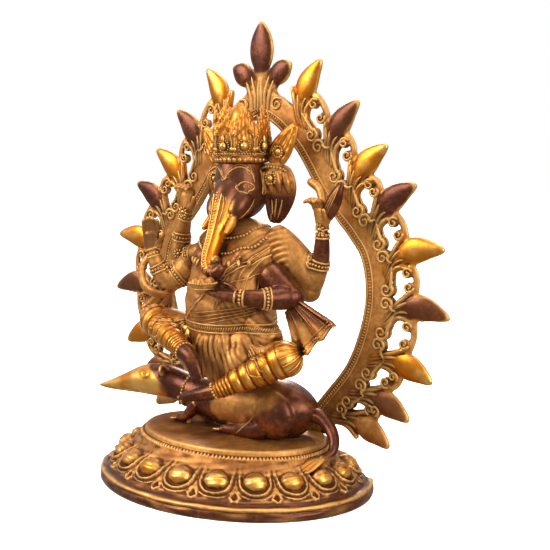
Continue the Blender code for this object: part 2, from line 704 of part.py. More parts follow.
def sash(name, side, points, material, carrier):
    """A flared, pleated scarf end that hangs from the elbow of a front arm."""
    pleats = 4
    rings = []
    stations = spline([(*point, wide) for point, wide in points], 2)
    for i, (x, y, z, wide) in enumerate(stations):
        before, after = stations[max(i - 1, 0)], stations[min(i + 1, len(stations) - 1)]
        tangent = (Vector(after[:3]) - Vector(before[:3])).normalized()
        across = tangent.cross(Vector((0, 1, 0))).normalized()
        depth = Vector((0, 1, 0))
        wave = 2.2 * MM * i / len(stations)
        ring = []
        count = pleats * 2
        for face in (1, -1):
            for k in range(count + 1):
                u = -1 + 2 * k / count
                fold = wave * (1 if k % 2 else -1)
                hem = tangent * (1.6 * MM if k % 2 else -1.6 * MM) * (i == len(stations) - 1)
                offset = depth * (fold + face * SASH_THICKNESS / 2)
                ring.append(Vector((x, y, z)) + across * (u * wide * face) + offset * 1.0 + hem)
        rings.append(ring)
    piece = skin_rings(name, rings)
    elbow, start = seat_point(*front_elbow(side)), Vector(stations[0][:3])
    outward = (start - elbow).normalized()
    surface = elbow + outward * ARM_RADIUS * 0.92
    spigot(piece, carrier, surface, -outward, 1.2 * MM, 4.0 * MM, (start - surface).length + 1.5 * MM)
    return place(piece, material)


def sashes(material):
    arm_left = next(piece for piece in placed if piece.name == "arm_front_left")
    arm_right = next(piece for piece in placed if piece.name == "arm_front_right")
    x, y, z = front_elbow(1)
    left = [(seat_point(x + 1, y - 1, z - 6), 6.5 * MM), (seat_point(x + 9, y - 2, z - 14), 9.5 * MM),
            (seat_point(x + 20, y - 3, z - 26), 17 * MM)]
    sash("sash_left", 1, left, material, arm_left)
    x, y, z = front_elbow(-1)
    right = [(seat_point(x - 7, y + 8, z - 6), 4.5 * MM), (seat_point(x - 18, y + 16, z - 11), 10 * MM),
             (seat_point(x - 34, y + 17, z - 25), 18 * MM)]
    sash("sash_right", -1, right, material, arm_right)


def sweets_bowl(material):
    """A footed bowl heaped with round sweets, on the front left hand."""
    middle = seat_point(9, -46, 60)
    rows = [(*(middle + Vector((0, 0, z * MM))), r * BOWL_RADIUS, r * BOWL_RADIUS)
            for z, r in ((-5, 0.45), (-4, 0.5), (-1, 0.85), (2, 1.0), (2.8, 0.95))]
    shapes = [sweep("sweets_bowl", rows, 10, Vector((1, 0, 0)), round_ends=False)]
    for k in range(4):
        turn = 2 * math.pi * k / 4
        offset = Vector((math.cos(turn), math.sin(turn), 0)) * BOWL_RADIUS * 0.52
        shapes.append(ellipsoid("sweet", middle + offset + Vector((0, 0, 3 * MM)), (3.4 * MM,) * 3, 6, 4))
    return place(fused("sweets_bowl", shapes), material)


def lotus_bud(material):
    """A bud on a drooping stalk, held in the rear left hand."""
    reach, top = SHOULDER_HALF_WIDTH / MM, SHOULDER_HEIGHT / MM
    stalk = figure_points((
        (seat_point(reach + 14, 9, top + 40), 2.2 * MM), (seat_point(reach + 23, 8, top + 35), 2.4 * MM),
        (seat_point(reach + 29, 4, top + 25), 2.6 * MM), (seat_point(reach + 31, 1, top + 15), 2.6 * MM),
    ))
    start, end = seat_point(reach + 31, 2, top + 14), seat_point(reach + 45, 2, top + 40)
    bud = []
    for t in (0, 0.15, 0.35, 0.55, 0.75, 0.9, 1):
        share = leaf_outline(0.1 + 0.85 * t)
        bud.append((*start.lerp(end, t), 5.2 * MM * share, 4.2 * MM * share))
    shapes = [limb("lotus_bud", stalk, 6), sweep("bud", bud, 6, Vector((1, 0, -0.5)))]
    return place(fused("lotus_bud", shapes), material)


# Crown


def crown_leaf(turn, height, half_width):
    """A pointed leaf of the crown, leaning out a little from its band."""
    centre = seat_point(0, 0, 0) + Vector((HEAD_CENTRE.x, HEAD_CENTRE.y - 2 * MM, CROWN_FOOT))
    outward = Vector((math.sin(turn), -math.cos(turn), 0))
    rows = []
    for k in range(5):
        t = k / 4
        lean = CROWN_RADIUS - 2.0 * MM + 3 * MM * math.sin(math.pi * t)
        point = centre + outward * lean + Vector((0, 0, CROWN_BAND_HEIGHT * 0.4 + height * t))
        wide = half_width * (0.8 + 0.4 * t) if t < 0.5 else half_width * 2 * (1 - t) ** 0.75 * 0.84
        rows.append((*point, max(wide, 0.8 * MM), 2.0 * MM * (1.15 - t)))
    return sweep("leaf", rows, 6, outward.cross(Vector((0, 0, 1))))


def crown(material, skull):
    """A banded crown of pointed leaves round a stepped cap, keyed on the head."""
    centre = seat_point(0, 0, 0) + Vector((HEAD_CENTRE.x, HEAD_CENTRE.y - 2 * MM, CROWN_FOOT))
    profile = ((0, 0.97), (0.17, 1), (0.33, 0.95), (0.75, 0.96), (1, 1), (1.83, 0.7), (2.83, 0.42), (3.25, 0.34),
               (3.67, 0.24))
    rows = []
    for rise, share in profile:
        girth = share * CROWN_RADIUS
        rows.append((centre.x, centre.y, centre.z + rise * CROWN_BAND_HEIGHT, girth, girth))
    shapes = [sweep("crown", rows, 14, Vector((1, 0, 0)))]
    for k in range(CROWN_LEAF_COUNT):
        turn = math.radians(-135 + 270 * k / (CROWN_LEAF_COUNT - 1))
        height = CROWN_LEAF_HEIGHT * (1 - 0.18 * abs(turn) / math.pi)
        shapes.append(crown_leaf(turn, height, CROWN_LEAF_HALF_WIDTH))
    piece = fused("crown", shapes)
    head_top = seat_point(0, 0, 0) + HEAD_CENTRE + Vector((0, 0, HEAD_HALF_HEIGHT))
    spigot(piece, skull, head_top, (0, 0, -1), 4.0 * MM, 5.0 * MM)
    return place(piece, material)


def crown_fan(side, material):
    """The fan of ribbon that stands behind each ear, below the crown."""
    centre = seat_point(0, 0, 0) + Vector((HEAD_CENTRE.x, HEAD_CENTRE.y + 4 * MM, CROWN_FOOT))
    foot = centre + Vector((side * (CROWN_RADIUS + 3 * MM), 0, 0))
    tip = foot + Vector((side * 17 * MM, 2 * MM, 24 * MM))
    rows = [(*foot.lerp(tip, t), 8 * MM * leaf_outline(0.15 + 0.8 * t), 2.0 * MM * (1.2 - 0.6 * t))
            for t in (0, 0.2, 0.4, 0.6, 0.8, 1)]
    name = "crown_fan_left" if side > 0 else "crown_fan_right"
    return place(sweep(name, rows, 8, Vector((1, 0.3 * side, -0.6 * side))), material)


# Aureole


def band_line():
    """Middle of the aureole's band from right foot to left foot, as shares of half span and rise."""
    right = [(0.467, 0), (0.609, 0.075), (0.837, 0.198), (0.962, 0.33), (1, 0.443), (0.957, 0.552),
             (0.837, 0.627), (0.707, 0.689), (0.576, 0.764), (0.391, 0.882), (0.185, 0.967)]
    return right + [(0, 1)] + [(-x, z) for x, z in reversed(right)]


def aureole_point(x, z):
    """A point in the aureole's plane, at shares of its half span and of its rise from the plate."""
    return Vector((x * AUREOLE_HALF_SPAN, AUREOLE_Y, PLATE_TOP + z * (AUREOLE_APEX - PLATE_TOP)))


def aureole_foot():
    """Middle of the foot of the aureole's right leg, where its tenon enters the base."""
    return aureole_point(*band_line()[0])


def tenon(name, side, clearance):
    x = side * aureole_foot().x
    half = TENON_HALF_WIDTH + clearance
    thick = TENON_THICKNESS / 2 + clearance
    low = (x - half, AUREOLE_Y - thick, PLATE_TOP - TENON_DEPTH - clearance)
    high = (x + half, AUREOLE_Y + thick, PLATE_TOP + 3 * MM)
    return box(name, low, high)


def flame_path(index):
    """A flame's middle line on the right side, from its root on the band to its tip."""
    roots = ((0.37, 0.939), (0.609, 0.825), (0.783, 0.712), (0.957, 0.618), (1.076, 0.5), (1.087, 0.368),
             (0.978, 0.241), (0.815, 0.127), (0.674, 0.052))
    rise = (70, 60, 52, 44, 22, 4, -14, -16, -20)
    angle = math.radians(rise[index])
    root = aureole_point(*roots[index])
    tip = root + Vector((math.cos(angle), 0, math.sin(angle))) * FLAME_LENGTH
    bend = math.radians(rise[index] + (34 if index < 6 else 24))
    knee = root + Vector((math.cos(bend), 0, math.sin(bend))) * FLAME_LENGTH * 0.45
    return [root.lerp(knee, t).lerp(knee.lerp(tip, t), t) for t in (0, 0.2, 0.36, 0.52, 0.68, 0.84, 1)]


def flame(path, side):
    """A leaf-shaped flame on a narrow stem."""
    widths = (0.7, 0.66, 0.84, 1.08, 1.04, 0.64, 0.12)
    rows = []
    for point, share in zip(path, widths):
        thick = AUREOLE_THICKNESS * 0.5 * (0.75 + 0.3 * share)
        rows.append((side * point.x, point.y, point.z, FLAME_HALF_WIDTH * share, thick * min(1, share * 2)))
    direction = Vector((rows[-1][0] - rows[0][0], 0, rows[-1][2] - rows[0][2])).normalized()
    return sweep("flame", rows, 6, direction.cross(Vector((0, 1, 0))))


def link(path, following, side):
    """The scroll that joins a flame to the next one."""
    start, end = path[2], following[2]
    middle = (start + end) / 2
    outward = Vector((end.z - start.z, 0, start.x - end.x)).normalized()
    if outward.x < 0:
        outward = -outward
    bow = outward * 4 * MM
    line = (start, start.lerp(middle, 0.6) + bow, end.lerp(middle, 0.6) + bow, end)
    rows = [(side * p.x, p.y, p.z, LINK_RADIUS, LINK_RADIUS) for p in line]
    return sweep("link", rows, 4, Vector((0, 1, 0)))


def finial():
    """The tall leaf at the top between its two side leaves, on a stalk down the band."""
    apex = aureole_point(0, 1)
    foot = apex - Vector((0, 0, 10 * MM))
    base = apex + Vector((0, 0, 3 * MM))
    neck = base + Vector((0, 0, 12 * MM))
    stalk = [(*foot, 5 * MM, 3.4 * MM), (*base, 4 * MM, 3.2 * MM), (*neck, 4 * MM, 3 * MM)]
    shapes = [limb("stalk", stalk, 8, 1)]
    low = FINIAL_HEIGHT * 0.62
    for angle, length, half in ((90, FINIAL_HEIGHT, 8.5 * MM), (44, low, 7 * MM), (136, low, 7 * MM)):
        direction = Vector((math.cos(math.radians(angle)), 0, math.sin(math.radians(angle))))
        rows = []
        for t in (0, 0.2, 0.4, 0.6, 0.8, 1):
            point = base + direction * length * t
            thick = AUREOLE_THICKNESS * 0.55 * (1.05 - 0.5 * t)
            rows.append((*point, half * leaf_outline(0.12 + 0.84 * t), thick))
        shapes.append(sweep("finial_leaf", rows, 6, direction.cross(Vector((0, 1, 0)))))
    return shapes


def aureole(material):
    line = [tuple(aureole_point(x, z)) for x, z in band_line()]
    centres = spline(line, 2)
    rows = [(*p, AUREOLE_BAND_HALF_WIDTH, AUREOLE_THICKNESS / 2) for p in centres]
    foot, last = list(rows[0]), list(rows[-1])
    for row in (foot, last):
        row[2] -= 12 * MM
        row[0] -= math.copysign(9 * MM, row[0])
    rows = [foot, *rows, last]
    band = band_strip(rows)
    far = BASE_BACK_Y + BASE_HALF_DEPTH
    ground = box("ground", (-BASE_HALF_WIDTH, -far, 0), (BASE_HALF_WIDTH, far, PLATE_TOP + FIT_GAP))
    combine(band, ground, "DIFFERENCE")
    shapes = [band]
    paths = [flame_path(i) for i in range(FLAME_COUNT)]
    for side in (-1, 1):
        for i, path in enumerate(paths):
            shapes.append(flame(path, side))
            if i + 1 < FLAME_COUNT:
                shapes.append(link(path, paths[i + 1], side))
    shapes += finial()
    for side in (-1, 1):
        shapes.append(tenon("tenon", side, 0))
    return place(fused("aureole", shapes), material)


def band_strip(rows):
    """The flat band along its line, with chamfered edges."""
    centres = [Vector(r[:3]) for r in rows]
    rings = []
    for i, row in enumerate(rows):
        tangent = (centres[min(i + 1, len(rows) - 1)] - centres[max(i - 1, 0)]).normalized()
        wide = tangent.cross(Vector((0, 1, 0))).normalized()
        thick = Vector((0, 1, 0))
        ring = []
        for u, v in ((1, 0.4), (0.88, 1), (-0.88, 1), (-1, 0.4)):
            ring.append(centres[i] + wide * u * row[3] + thick * v * row[4])
        for u, v in ((-1, -0.4), (-0.88, -1), (0.88, -1), (1, -0.4)):
            ring.append(centres[i] + wide * u * row[3] + thick * v * row[4])
        rings.append(ring)
    return skin_rings("aureole", rings)


# Fasteners


def fasteners(material, base, rat, body):
    """The tie rod with its washer and nut, and the two rivets that hold the rat's feet."""
    under = PLATE_TOP - PLATE_THICKNESS
    x, y = 0.0, RAT_CENTRE_Y
    top = SEAT_Z + TIE_ROD_REACH
    hole = TIE_ROD_RADIUS + FIT_GAP
    for piece in (base, rat, body):
        drill(piece, x, y, under - 2 * MM, top + FIT_GAP, hole)
    washer_low = under - FIT_GAP - WASHER_THICKNESS
    nut_low = washer_low - FIT_GAP - NUT_HEIGHT
    rod = cylinder("tie_rod", (x, y, nut_low - 1.5 * MM), (0, 0, 1), TIE_ROD_RADIUS, top - nut_low + 1.5 * MM)
    washer = cylinder("tie_washer", (x, y, washer_low), (0, 0, 1), WASHER_RADIUS, WASHER_THICKNESS, 16)
    nut = cylinder("tie_nut", (x, y, nut_low), (0, 0, 1), NUT_RADIUS, NUT_HEIGHT, 6)
    for piece in (washer, nut):
        drill(piece, x, y, nut_low - 1 * MM, under, hole)
    for piece in (rod, washer, nut):
        place(piece, material, fettle=False)
    rivets = (("rat_rivet_front", rat_point(-34, -11.5, 0)), ("rat_rivet_rear", rat_point(40, 1, 0)))
    for name, point in rivets:
        shank_top = PLATE_TOP + 7 * MM
        for piece in (base, rat):
            drill(piece, point.x, point.y, under - 1 * MM, shank_top + FIT_GAP, RIVET_RADIUS + FIT_GAP)
        head_low = under - FIT_GAP - RIVET_HEAD_HEIGHT
        low = (point.x, point.y, head_low)
        shank = cylinder(name, low, (0, 0, 1), RIVET_RADIUS, shank_top - head_low, 8)
        button = cylinder("rivet_head", low, (0, 0, 1), RIVET_HEAD_RADIUS, RIVET_HEAD_HEIGHT, 8)
        place(fused(name, [shank, button]), material, fettle=False)


def main():
    clear_scene()
    antique = finish("antique_brass", (0.45, 0.29, 0.09), 0.5)
    polished = finish("polished_brass", (0.83, 0.55, 0.13), 0.25)
    maroon = finish("maroon_patina", (0.16, 0.07, 0.045), 0.38)
    base = lotus_base(antique)
    rat = rat_body(maroon)
    body = torso(antique)
    fasteners(antique, base, rat, body)
    rat_tail(maroon, rat)
    legs(polished, body)
    skull = head(maroon, body)
    sweets_bowl(polished)
    lotus_bud(maroon)
    arms(antique, body)
    for side in (-1, 1):
        ear(side, antique, skull)
    crown(polished, skull)
    for side in (-1, 1):
        crown_fan(side, polished)
    sashes(antique)
    aureole(antique)


main()
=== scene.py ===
"""Cast, chased and patinated brass: a seated elephant-headed figure on its rat, lotus base and aureole.

Sizes in the modelling code are millimetres in the statue's own frame: front is -Y, up is +Z, and the base
stands on z = 0. Each casting is modelled from pressed balls and drawn limbs, melted into one skin, chased
with beads, raised lines and hatching laid on that skin, and coloured by finish, edge wear that is also a
painted highlight, and patina that is also painted shade in crowded places.
"""

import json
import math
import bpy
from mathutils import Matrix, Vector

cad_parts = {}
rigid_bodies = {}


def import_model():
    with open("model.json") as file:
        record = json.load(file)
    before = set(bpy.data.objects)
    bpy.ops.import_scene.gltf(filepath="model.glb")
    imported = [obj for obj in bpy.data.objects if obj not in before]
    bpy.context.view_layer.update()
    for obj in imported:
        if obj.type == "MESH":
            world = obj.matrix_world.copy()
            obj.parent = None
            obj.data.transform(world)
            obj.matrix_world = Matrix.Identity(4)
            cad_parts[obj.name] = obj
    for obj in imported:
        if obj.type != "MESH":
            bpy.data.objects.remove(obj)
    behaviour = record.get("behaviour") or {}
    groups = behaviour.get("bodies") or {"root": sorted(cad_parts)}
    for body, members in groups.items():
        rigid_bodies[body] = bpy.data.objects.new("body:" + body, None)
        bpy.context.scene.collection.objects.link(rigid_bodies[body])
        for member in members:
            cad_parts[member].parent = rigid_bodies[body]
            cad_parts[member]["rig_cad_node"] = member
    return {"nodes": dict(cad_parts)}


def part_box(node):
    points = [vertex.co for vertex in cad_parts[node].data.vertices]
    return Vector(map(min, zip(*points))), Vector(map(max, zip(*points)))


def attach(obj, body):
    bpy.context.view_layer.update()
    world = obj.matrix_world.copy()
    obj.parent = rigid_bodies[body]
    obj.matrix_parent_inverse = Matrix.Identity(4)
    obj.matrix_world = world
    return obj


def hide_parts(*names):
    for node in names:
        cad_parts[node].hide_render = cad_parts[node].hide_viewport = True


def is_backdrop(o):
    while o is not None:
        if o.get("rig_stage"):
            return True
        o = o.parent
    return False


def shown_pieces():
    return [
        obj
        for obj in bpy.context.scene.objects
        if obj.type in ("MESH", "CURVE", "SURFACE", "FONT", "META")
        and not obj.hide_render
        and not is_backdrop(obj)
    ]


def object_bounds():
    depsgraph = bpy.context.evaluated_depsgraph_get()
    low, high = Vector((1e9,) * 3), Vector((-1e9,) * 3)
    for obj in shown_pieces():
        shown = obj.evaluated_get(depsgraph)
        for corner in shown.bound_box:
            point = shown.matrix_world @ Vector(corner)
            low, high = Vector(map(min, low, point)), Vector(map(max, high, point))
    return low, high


bl_info = {
    "name": "Brass figure on a rat",
    "version": (1, 0, 0),
    "blender": (4, 5, 0),
    "location": "View3D > Sidebar > Statue",
    "description": "Cast, chased and patinated pieces of a brass statue on its packed frame",
    "category": "Object",
}

import bpy
import numpy as np
from mathutils import Matrix, Vector
from mathutils.bvhtree import BVHTree
from mathutils.kdtree import KDTree

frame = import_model()
CAD_LOW, CAD_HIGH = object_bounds()
MM = 0.001
BASE_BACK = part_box("lotus_base")[1][1] / MM


def length_setting(name, note, value, least):
    """A setting in metres."""
    return bpy.props.FloatProperty(name=name, description=note, default=value, min=least, unit="LENGTH")


def count_setting(name, note, value, least):
    """A whole number to set."""
    return bpy.props.IntProperty(name=name, description=note, default=value, min=least)


def colour_setting(name, note, value):
    """A colour to set."""
    return bpy.props.FloatVectorProperty(
        name=name, description=note, subtype="COLOR", size=3, default=value, min=0, max=1
    )


class StatueSizes(bpy.types.PropertyGroup):
    """Sizes a user would change."""

    grain: length_setting("Skin grain", "Fineness of the cast skins", 0.8 * MM, 0.4 * MM)
    aureole_grain: length_setting("Aureole grain", "Fineness of the aureole's skin", 0.85 * MM, 0.5 * MM)
    petals: count_setting("Petals", "Petals in a full turn of the base", 20, 8)
    crown_leaves: count_setting("Crown leaves", "Leaves round the crown", 7, 3)
    shin_bands: count_setting("Shin bands", "Puffed bands on each shin", 5, 2)


class StatueFinishes(bpy.types.PropertyGroup):
    """Colours of the finishes."""

    ochre: colour_setting("Antique brass", "Matte brass of band and body", (0.54, 0.255, 0.066))
    ochre_deep: colour_setting(
        "Antique brass, deep", "Darker mottling of the matte brass", (0.33, 0.125, 0.022)
    )
    gold: colour_setting("Polished brass", "Bright rubbed brass", (0.86, 0.47, 0.115))
    gold_deep: colour_setting("Polished brass, amber", "Amber tone in the rubbed brass", (0.58, 0.19, 0.014))
    maroon: colour_setting("Maroon lacquer", "Dark lacquer left on the brass", (0.070, 0.016, 0.006))
    maroon_light: colour_setting("Maroon lacquer, thin", "Lacquer rubbed thin", (0.21, 0.060, 0.015))
    # Dark brown for tarnish in the recesses, also used as painted shade where surfaces crowd.
    patina: colour_setting("Patina", "Dirt and tarnish in the recesses", (0.090, 0.030, 0.007))
    rust: colour_setting("Rust brown", "Brown stain that creeps over the matte brass", (0.24, 0.080, 0.015))
    # Pale rubbed brass on edges, also painted as a highlight on ridges and beads.
    worn_and_highlight: colour_setting("Worn edge", "Pale brass on rubbed edges", (0.68, 0.40, 0.125))


# Bench tools


def pick(*objects):
    bpy.ops.object.select_all(action="DESELECT")
    for item in objects:
        item.select_set(True)
    bpy.context.view_layer.objects.active = objects[0]


def points_of(piece):
    """Vertices of a piece in millimetres."""
    values = np.empty(len(piece.data.vertices) * 3, np.float32)
    piece.data.vertices.foreach_get("co", values)
    return values.reshape(-1, 3).astype(float) / MM


def normals_of(piece):
    values = np.empty(len(piece.data.vertices) * 3, np.float32)
    piece.data.vertices.foreach_get("normal", values)
    return values.reshape(-1, 3).astype(float)


def move_to(piece, points):
    piece.data.vertices.foreach_set("co", (np.asarray(points) * MM).astype(np.float32).ravel())
    piece.data.update()


def unit(vectors):
    vectors = np.asarray(vectors, float)
    return vectors / np.maximum(np.linalg.norm(vectors, axis=-1, keepdims=True), 1e-9)


def ramp(values, low, high):
    """Eases from 0 at low to 1 at high."""
    t = np.clip((np.asarray(values, float) - low) / (high - low), 0, 1)
    return t * t * (3 - 2 * t)


def vec(*values):
    return np.array(values, float)


def along(rows, t):
    """Values on a smooth line through rows at t from 0 to 1."""
    rows = np.asarray(rows, float)
    spans = len(rows) - 1
    place = np.clip(t, 0, 1) * spans
    i = np.minimum(place.astype(int), spans - 1)
    f = (place - i)[:, None]
    p, q = rows[np.maximum(i - 1, 0)], rows[i]
    r, s = rows[i + 1], rows[np.minimum(i + 2, spans)]
    return 0.5 * (2 * q + (r - p) * f + (2 * p - 5 * q + 4 * r - s) * f**2 + (3 * q - p - 3 * r + s) * f**3)


def new_ball(segments, rings):
    bpy.ops.object.select_all(action="DESELECT")
    bpy.ops.mesh.primitive_uv_sphere_add(segments=segments, ring_count=rings, radius=1)
    return bpy.context.object


def ball(centre, radii, turn=(0, 0, 0), segments=24, rings=14):
    """A ball pressed to three half sizes, turned in degrees and set at its place."""
    made = new_ball(segments, rings)
    made.scale = [r * MM for r in (radii if hasattr(radii, "__len__") else (radii,) * 3)]
    made.rotation_euler = [math.radians(a) for a in turn]
    made.location = [c * MM for c in centre]
    bpy.ops.object.transform_apply(location=True, rotation=True, scale=True)
    return made


def drawn(points, count):
    """Even steps along a smooth line through points."""
    return along(points, np.linspace(0, 1, count))


def limb(rows, segments=20, rings=36, across=(0, 1, 0), dome=8):
    """A ball drawn out along rows of (x, y, z, half width[, half thickness]).

    The width lies along across, which is one way for all rows or one for each.
    """
    rows = np.array([(*r, r[3]) if len(r) == 4 else tuple(r) for r in rows], float)
    made = new_ball(segments, rings)
    start = points_of(made) * MM
    t = np.arccos(np.clip(start[:, 2], -1, 1)) / np.pi
    turn = np.arctan2(start[:, 1], start[:, 0])
    spot = along(rows, t)
    tangent = unit(along(rows[:, :3], t + 0.02) - along(rows[:, :3], t - 0.02))
    across = np.asarray(across, float)
    facing = along(across, t) if across.ndim == 2 else np.broadcast_to(across, tangent.shape)
    wide = unit(facing - tangent * (tangent * facing).sum(axis=1)[:, None])
    thick = np.cross(wide, tangent)
    swell = np.sqrt(np.maximum(0, 1 - np.abs(2 * t - 1) ** dome))
    aside = wide * (np.cos(turn) * spot[:, 3] * swell)[:, None]
    off = thick * (np.sin(turn) * spot[:, 4] * swell)[:, None]
    move_to(made, spot[:, :3] + aside + off)
    return made


def modify(piece, kind, **values):
    """Adds a modifier, sets it and applies it."""
    pick(piece)
    bpy.ops.object.modifier_add(type=kind)
    modifier = piece.modifiers[-1]
    for name, value in values.items():
        setattr(modifier, name, value)
    bpy.ops.object.modifier_apply(modifier=modifier.name)
    return piece


def plate(columns, rows, shape, thickness):
    """A grid shaped by shape(u, v), both from -1 to 1, and given a thickness."""
    bpy.ops.object.select_all(action="DESELECT")
    bpy.ops.mesh.primitive_grid_add(x_subdivisions=columns, y_subdivisions=rows, size=2)
    made = bpy.context.object
    flat = points_of(made) * MM
    move_to(made, shape(flat[:, 0], flat[:, 1]))
    modify(made, "SOLIDIFY", thickness=thickness * MM, offset=0)
    bpy.ops.object.mode_set(mode="EDIT")
    bpy.ops.mesh.select_all(action="SELECT")
    bpy.ops.mesh.normals_make_consistent(inside=False)
    bpy.ops.object.mode_set(mode="OBJECT")
    return made


def spot_on(shape, u, v):
    """One place on the middle face of a plate."""
    return shape(np.array([u]), np.array([v]))[0]


def block(centre, size):
    """A plain block, for cutting or melting."""
    bpy.ops.object.select_all(action="DESELECT")
    bpy.ops.mesh.primitive_cube_add(size=1, location=[c * MM for c in centre], scale=[s * MM for s in size])
    bpy.ops.object.transform_apply(location=True, rotation=True, scale=True)
    return bpy.context.object


def joined(name, shapes):
    pick(*shapes)
    if len(shapes) > 1:
        bpy.ops.object.join()
    shapes[0].name = name
    shapes[0].data.name = name
    return shapes[0]


def melted(name, shapes, grain, rounds=2):
    """Shapes melted into one cast skin."""
    piece = joined(name, shapes)
    modify(piece, "REMESH", mode="VOXEL", voxel_size=grain)
    return modify(piece, "SMOOTH", factor=0.5, iterations=rounds)


def copies(pattern, frames):
    """Copies of a pattern at each frame, as one mesh; the pattern itself is removed."""
    start = points_of(pattern) * MM
    faces = [list(p.vertices) for p in pattern.data.polygons]
    points, loops = [], []
    for k, turned in enumerate(frames):
        points.append(start @ np.array(turned)[:3, :3].T + np.array(turned)[:3, 3])
        loops += [[i + k * len(start) for i in face] for face in faces]
    mesh = bpy.data.meshes.new("copies")
    mesh.from_pydata(np.concatenate(points).tolist(), [], loops)
    made = bpy.data.objects.new("copies", mesh)
    bpy.context.scene.collection.objects.link(made)
    bpy.data.objects.remove(pattern)
    return made


def frame_at(place, out, ahead, size):
    """A frame at a place in millimetres: x ahead, z out, scaled by a size in millimetres."""
    out, ahead = Vector(out).normalized(), Vector(ahead)
    ahead = (ahead - out * ahead.dot(out)).normalized()
    side = out.cross(ahead)
    sizes = Vector(size if hasattr(size, "__len__") else (size,) * 3) * MM
    axes = Matrix((ahead * sizes.x, side * sizes.y, out * sizes.z)).transposed().to_4x4()
    return Matrix.Translation(Vector(place) * MM) @ axes


def evenly(points, pitch, closed=False):
    """Points on a line at even pitch, with the way ahead at each."""
    points = np.asarray(points, float)
    if closed:
        points = np.vstack([points, points[:1]])
    steps = np.linalg.norm(np.diff(points, axis=0), axis=1)
    run = np.concatenate([[0], np.cumsum(steps)])
    count = max(2, int(round(run[-1] / pitch)))
    at = np.linspace(0, run[-1], count + 1)[: count if closed else None]
    spots = np.column_stack([np.interp(at, run, points[:, k]) for k in range(3)])
    later = np.column_stack([np.interp(np.minimum(at + 0.2, run[-1]), run, points[:, k]) for k in range(3)])
    earlier = np.column_stack([np.interp(np.maximum(at - 0.2, 0), run, points[:, k]) for k in range(3)])
    return spots, unit(later - earlier)


class Skin:
    """The finished surface of a casting, on which chasing is laid."""

    def __init__(self, piece):
        bpy.context.view_layer.update()
        self.tree = BVHTree.FromObject(piece, bpy.context.evaluated_depsgraph_get())

    def near(self, point, lift=0.0):
        spot, normal, _, _ = self.tree.find_nearest(Vector(point) * MM)
        return np.array(spot) / MM + np.array(normal) * lift, np.array(normal)

    def line(self, points, lift=0.0):
        return np.array([self.near(p, lift)[0] for p in points])

    def cast(self, points, way):
        """Places where points carried along a way, one for all or one for each, first meet the skin."""
        hits = []
        for point, ahead in zip(points, np.broadcast_to(way, np.shape(points))):
            spot = self.tree.ray_cast(Vector(point) * MM, Vector(ahead))[0]
            hits.append(np.array(spot) / MM if spot else self.near(point)[0])
        return hits


def beads(skin, points, radius, pitch=None, closed=False):
    """A row of beads on a skin."""
    spots, ways = evenly(skin.line(points), pitch or radius * 2.15, closed)
    frames = []
    for spot, way in zip(spots, ways):
        place, out = skin.near(spot, radius * 0.25)
        frames.append(frame_at(place, out, way, (radius, radius, radius * 0.8)))
    return tinted(copies(new_ball(8, 6), frames), gold=0.15, dark=0.05)


def raised(skin, points, radius, closed=False, lift=0.15, taper=False):
    """A raised line on a skin."""
    if closed:
        points = [*points, points[0], points[1]]
    spots, _ = evenly(skin.line(points), max(radius * 1.3, 0.6))
    spots = skin.line(spots, radius * lift)
    share = np.abs(np.sin(np.pi * np.linspace(0, 1, len(spots)))) ** 0.5 if taper else np.ones(len(spots))
    rows = [(*s, radius * (0.25 + 0.75 * w)) for s, w in zip(spots, share)]
    facing = [skin.near(s)[1] for s in spots]
    return tinted(limb(rows, 8, min(120, len(rows) * 2), facing, dome=30), gold=0.08)


def hatched(skin, points, length, width, pitch, closed=False, lean=0.0, lift=0.1):
    """Short bars across a line on a skin."""
    spots, ways = evenly(skin.line(points), pitch, closed)
    frames = []
    for spot, way in zip(spots, ways):
        place, out = skin.near(spot, lift)
        bar = np.cross(out, way) + way * lean
        frames.append(frame_at(place, out, bar, (length / 2, width / 2, width * 0.6)))
    return tinted(copies(new_ball(6, 4), frames), gold=0.08)


def stud(mesh, place, out, ahead, size, **shares):
    """A pressed ball of mesh segments and rings, set at a place with a finish."""
    return tinted(copies(new_ball(*mesh), [frame_at(place, out, ahead, size)]), **shares)


def hoop(centre, axis, reach, count=28):
    """Points on a circle round an axis."""
    axis = Vector(axis).normalized()
    side = axis.orthogonal().normalized()
    other = axis.cross(side)
    turns = [2 * math.pi * k / count for k in range(count)]
    return [np.array(centre) + reach * np.array(side * math.cos(a) + other * math.sin(a)) for a in turns]


def bangle(skin, centre, axis, reach, radius=1.0, spread=2.2):
    """A row of beads between two raised lines round a limb."""
    step = np.array(Vector(axis).normalized()) * spread
    shapes = [beads(skin, hoop(centre, axis, reach), radius, closed=True)]
    for way in (-1, 1):
        shapes.append(raised(
            skin, hoop(np.array(centre) + step * way, axis, reach), radius * 0.7, closed=True
        ))
    return shapes


def spiral(centre, start, radius, turns, out, side, girth):
    """A scroll that winds in from start (degrees) round a centre, in the plane that faces out (y)."""
    rows = []
    count = 26
    for k in range(count):
        t = k / (count - 1)
        angle = math.radians(start) + side * turns * 2 * math.pi * t
        reach = radius * (1 - 0.86 * t)
        rows.append((
            centre[0] + reach * math.cos(angle), centre[1] + out * t, centre[2] + reach * math.sin(angle),
            girth * (1 - 0.45 * t),
        ))
    return limb(rows, 6, 36, (0, 1, 0.01), dome=24)


# Finishes


def tinted(piece, gold=0.0, maroon=0.0, dark=0.0):
    """Marks all of a piece with one finish."""
    paint(piece, lambda p, n: (np.full(len(p), gold), np.full(len(p), maroon), np.full(len(p), dark)))
    return piece


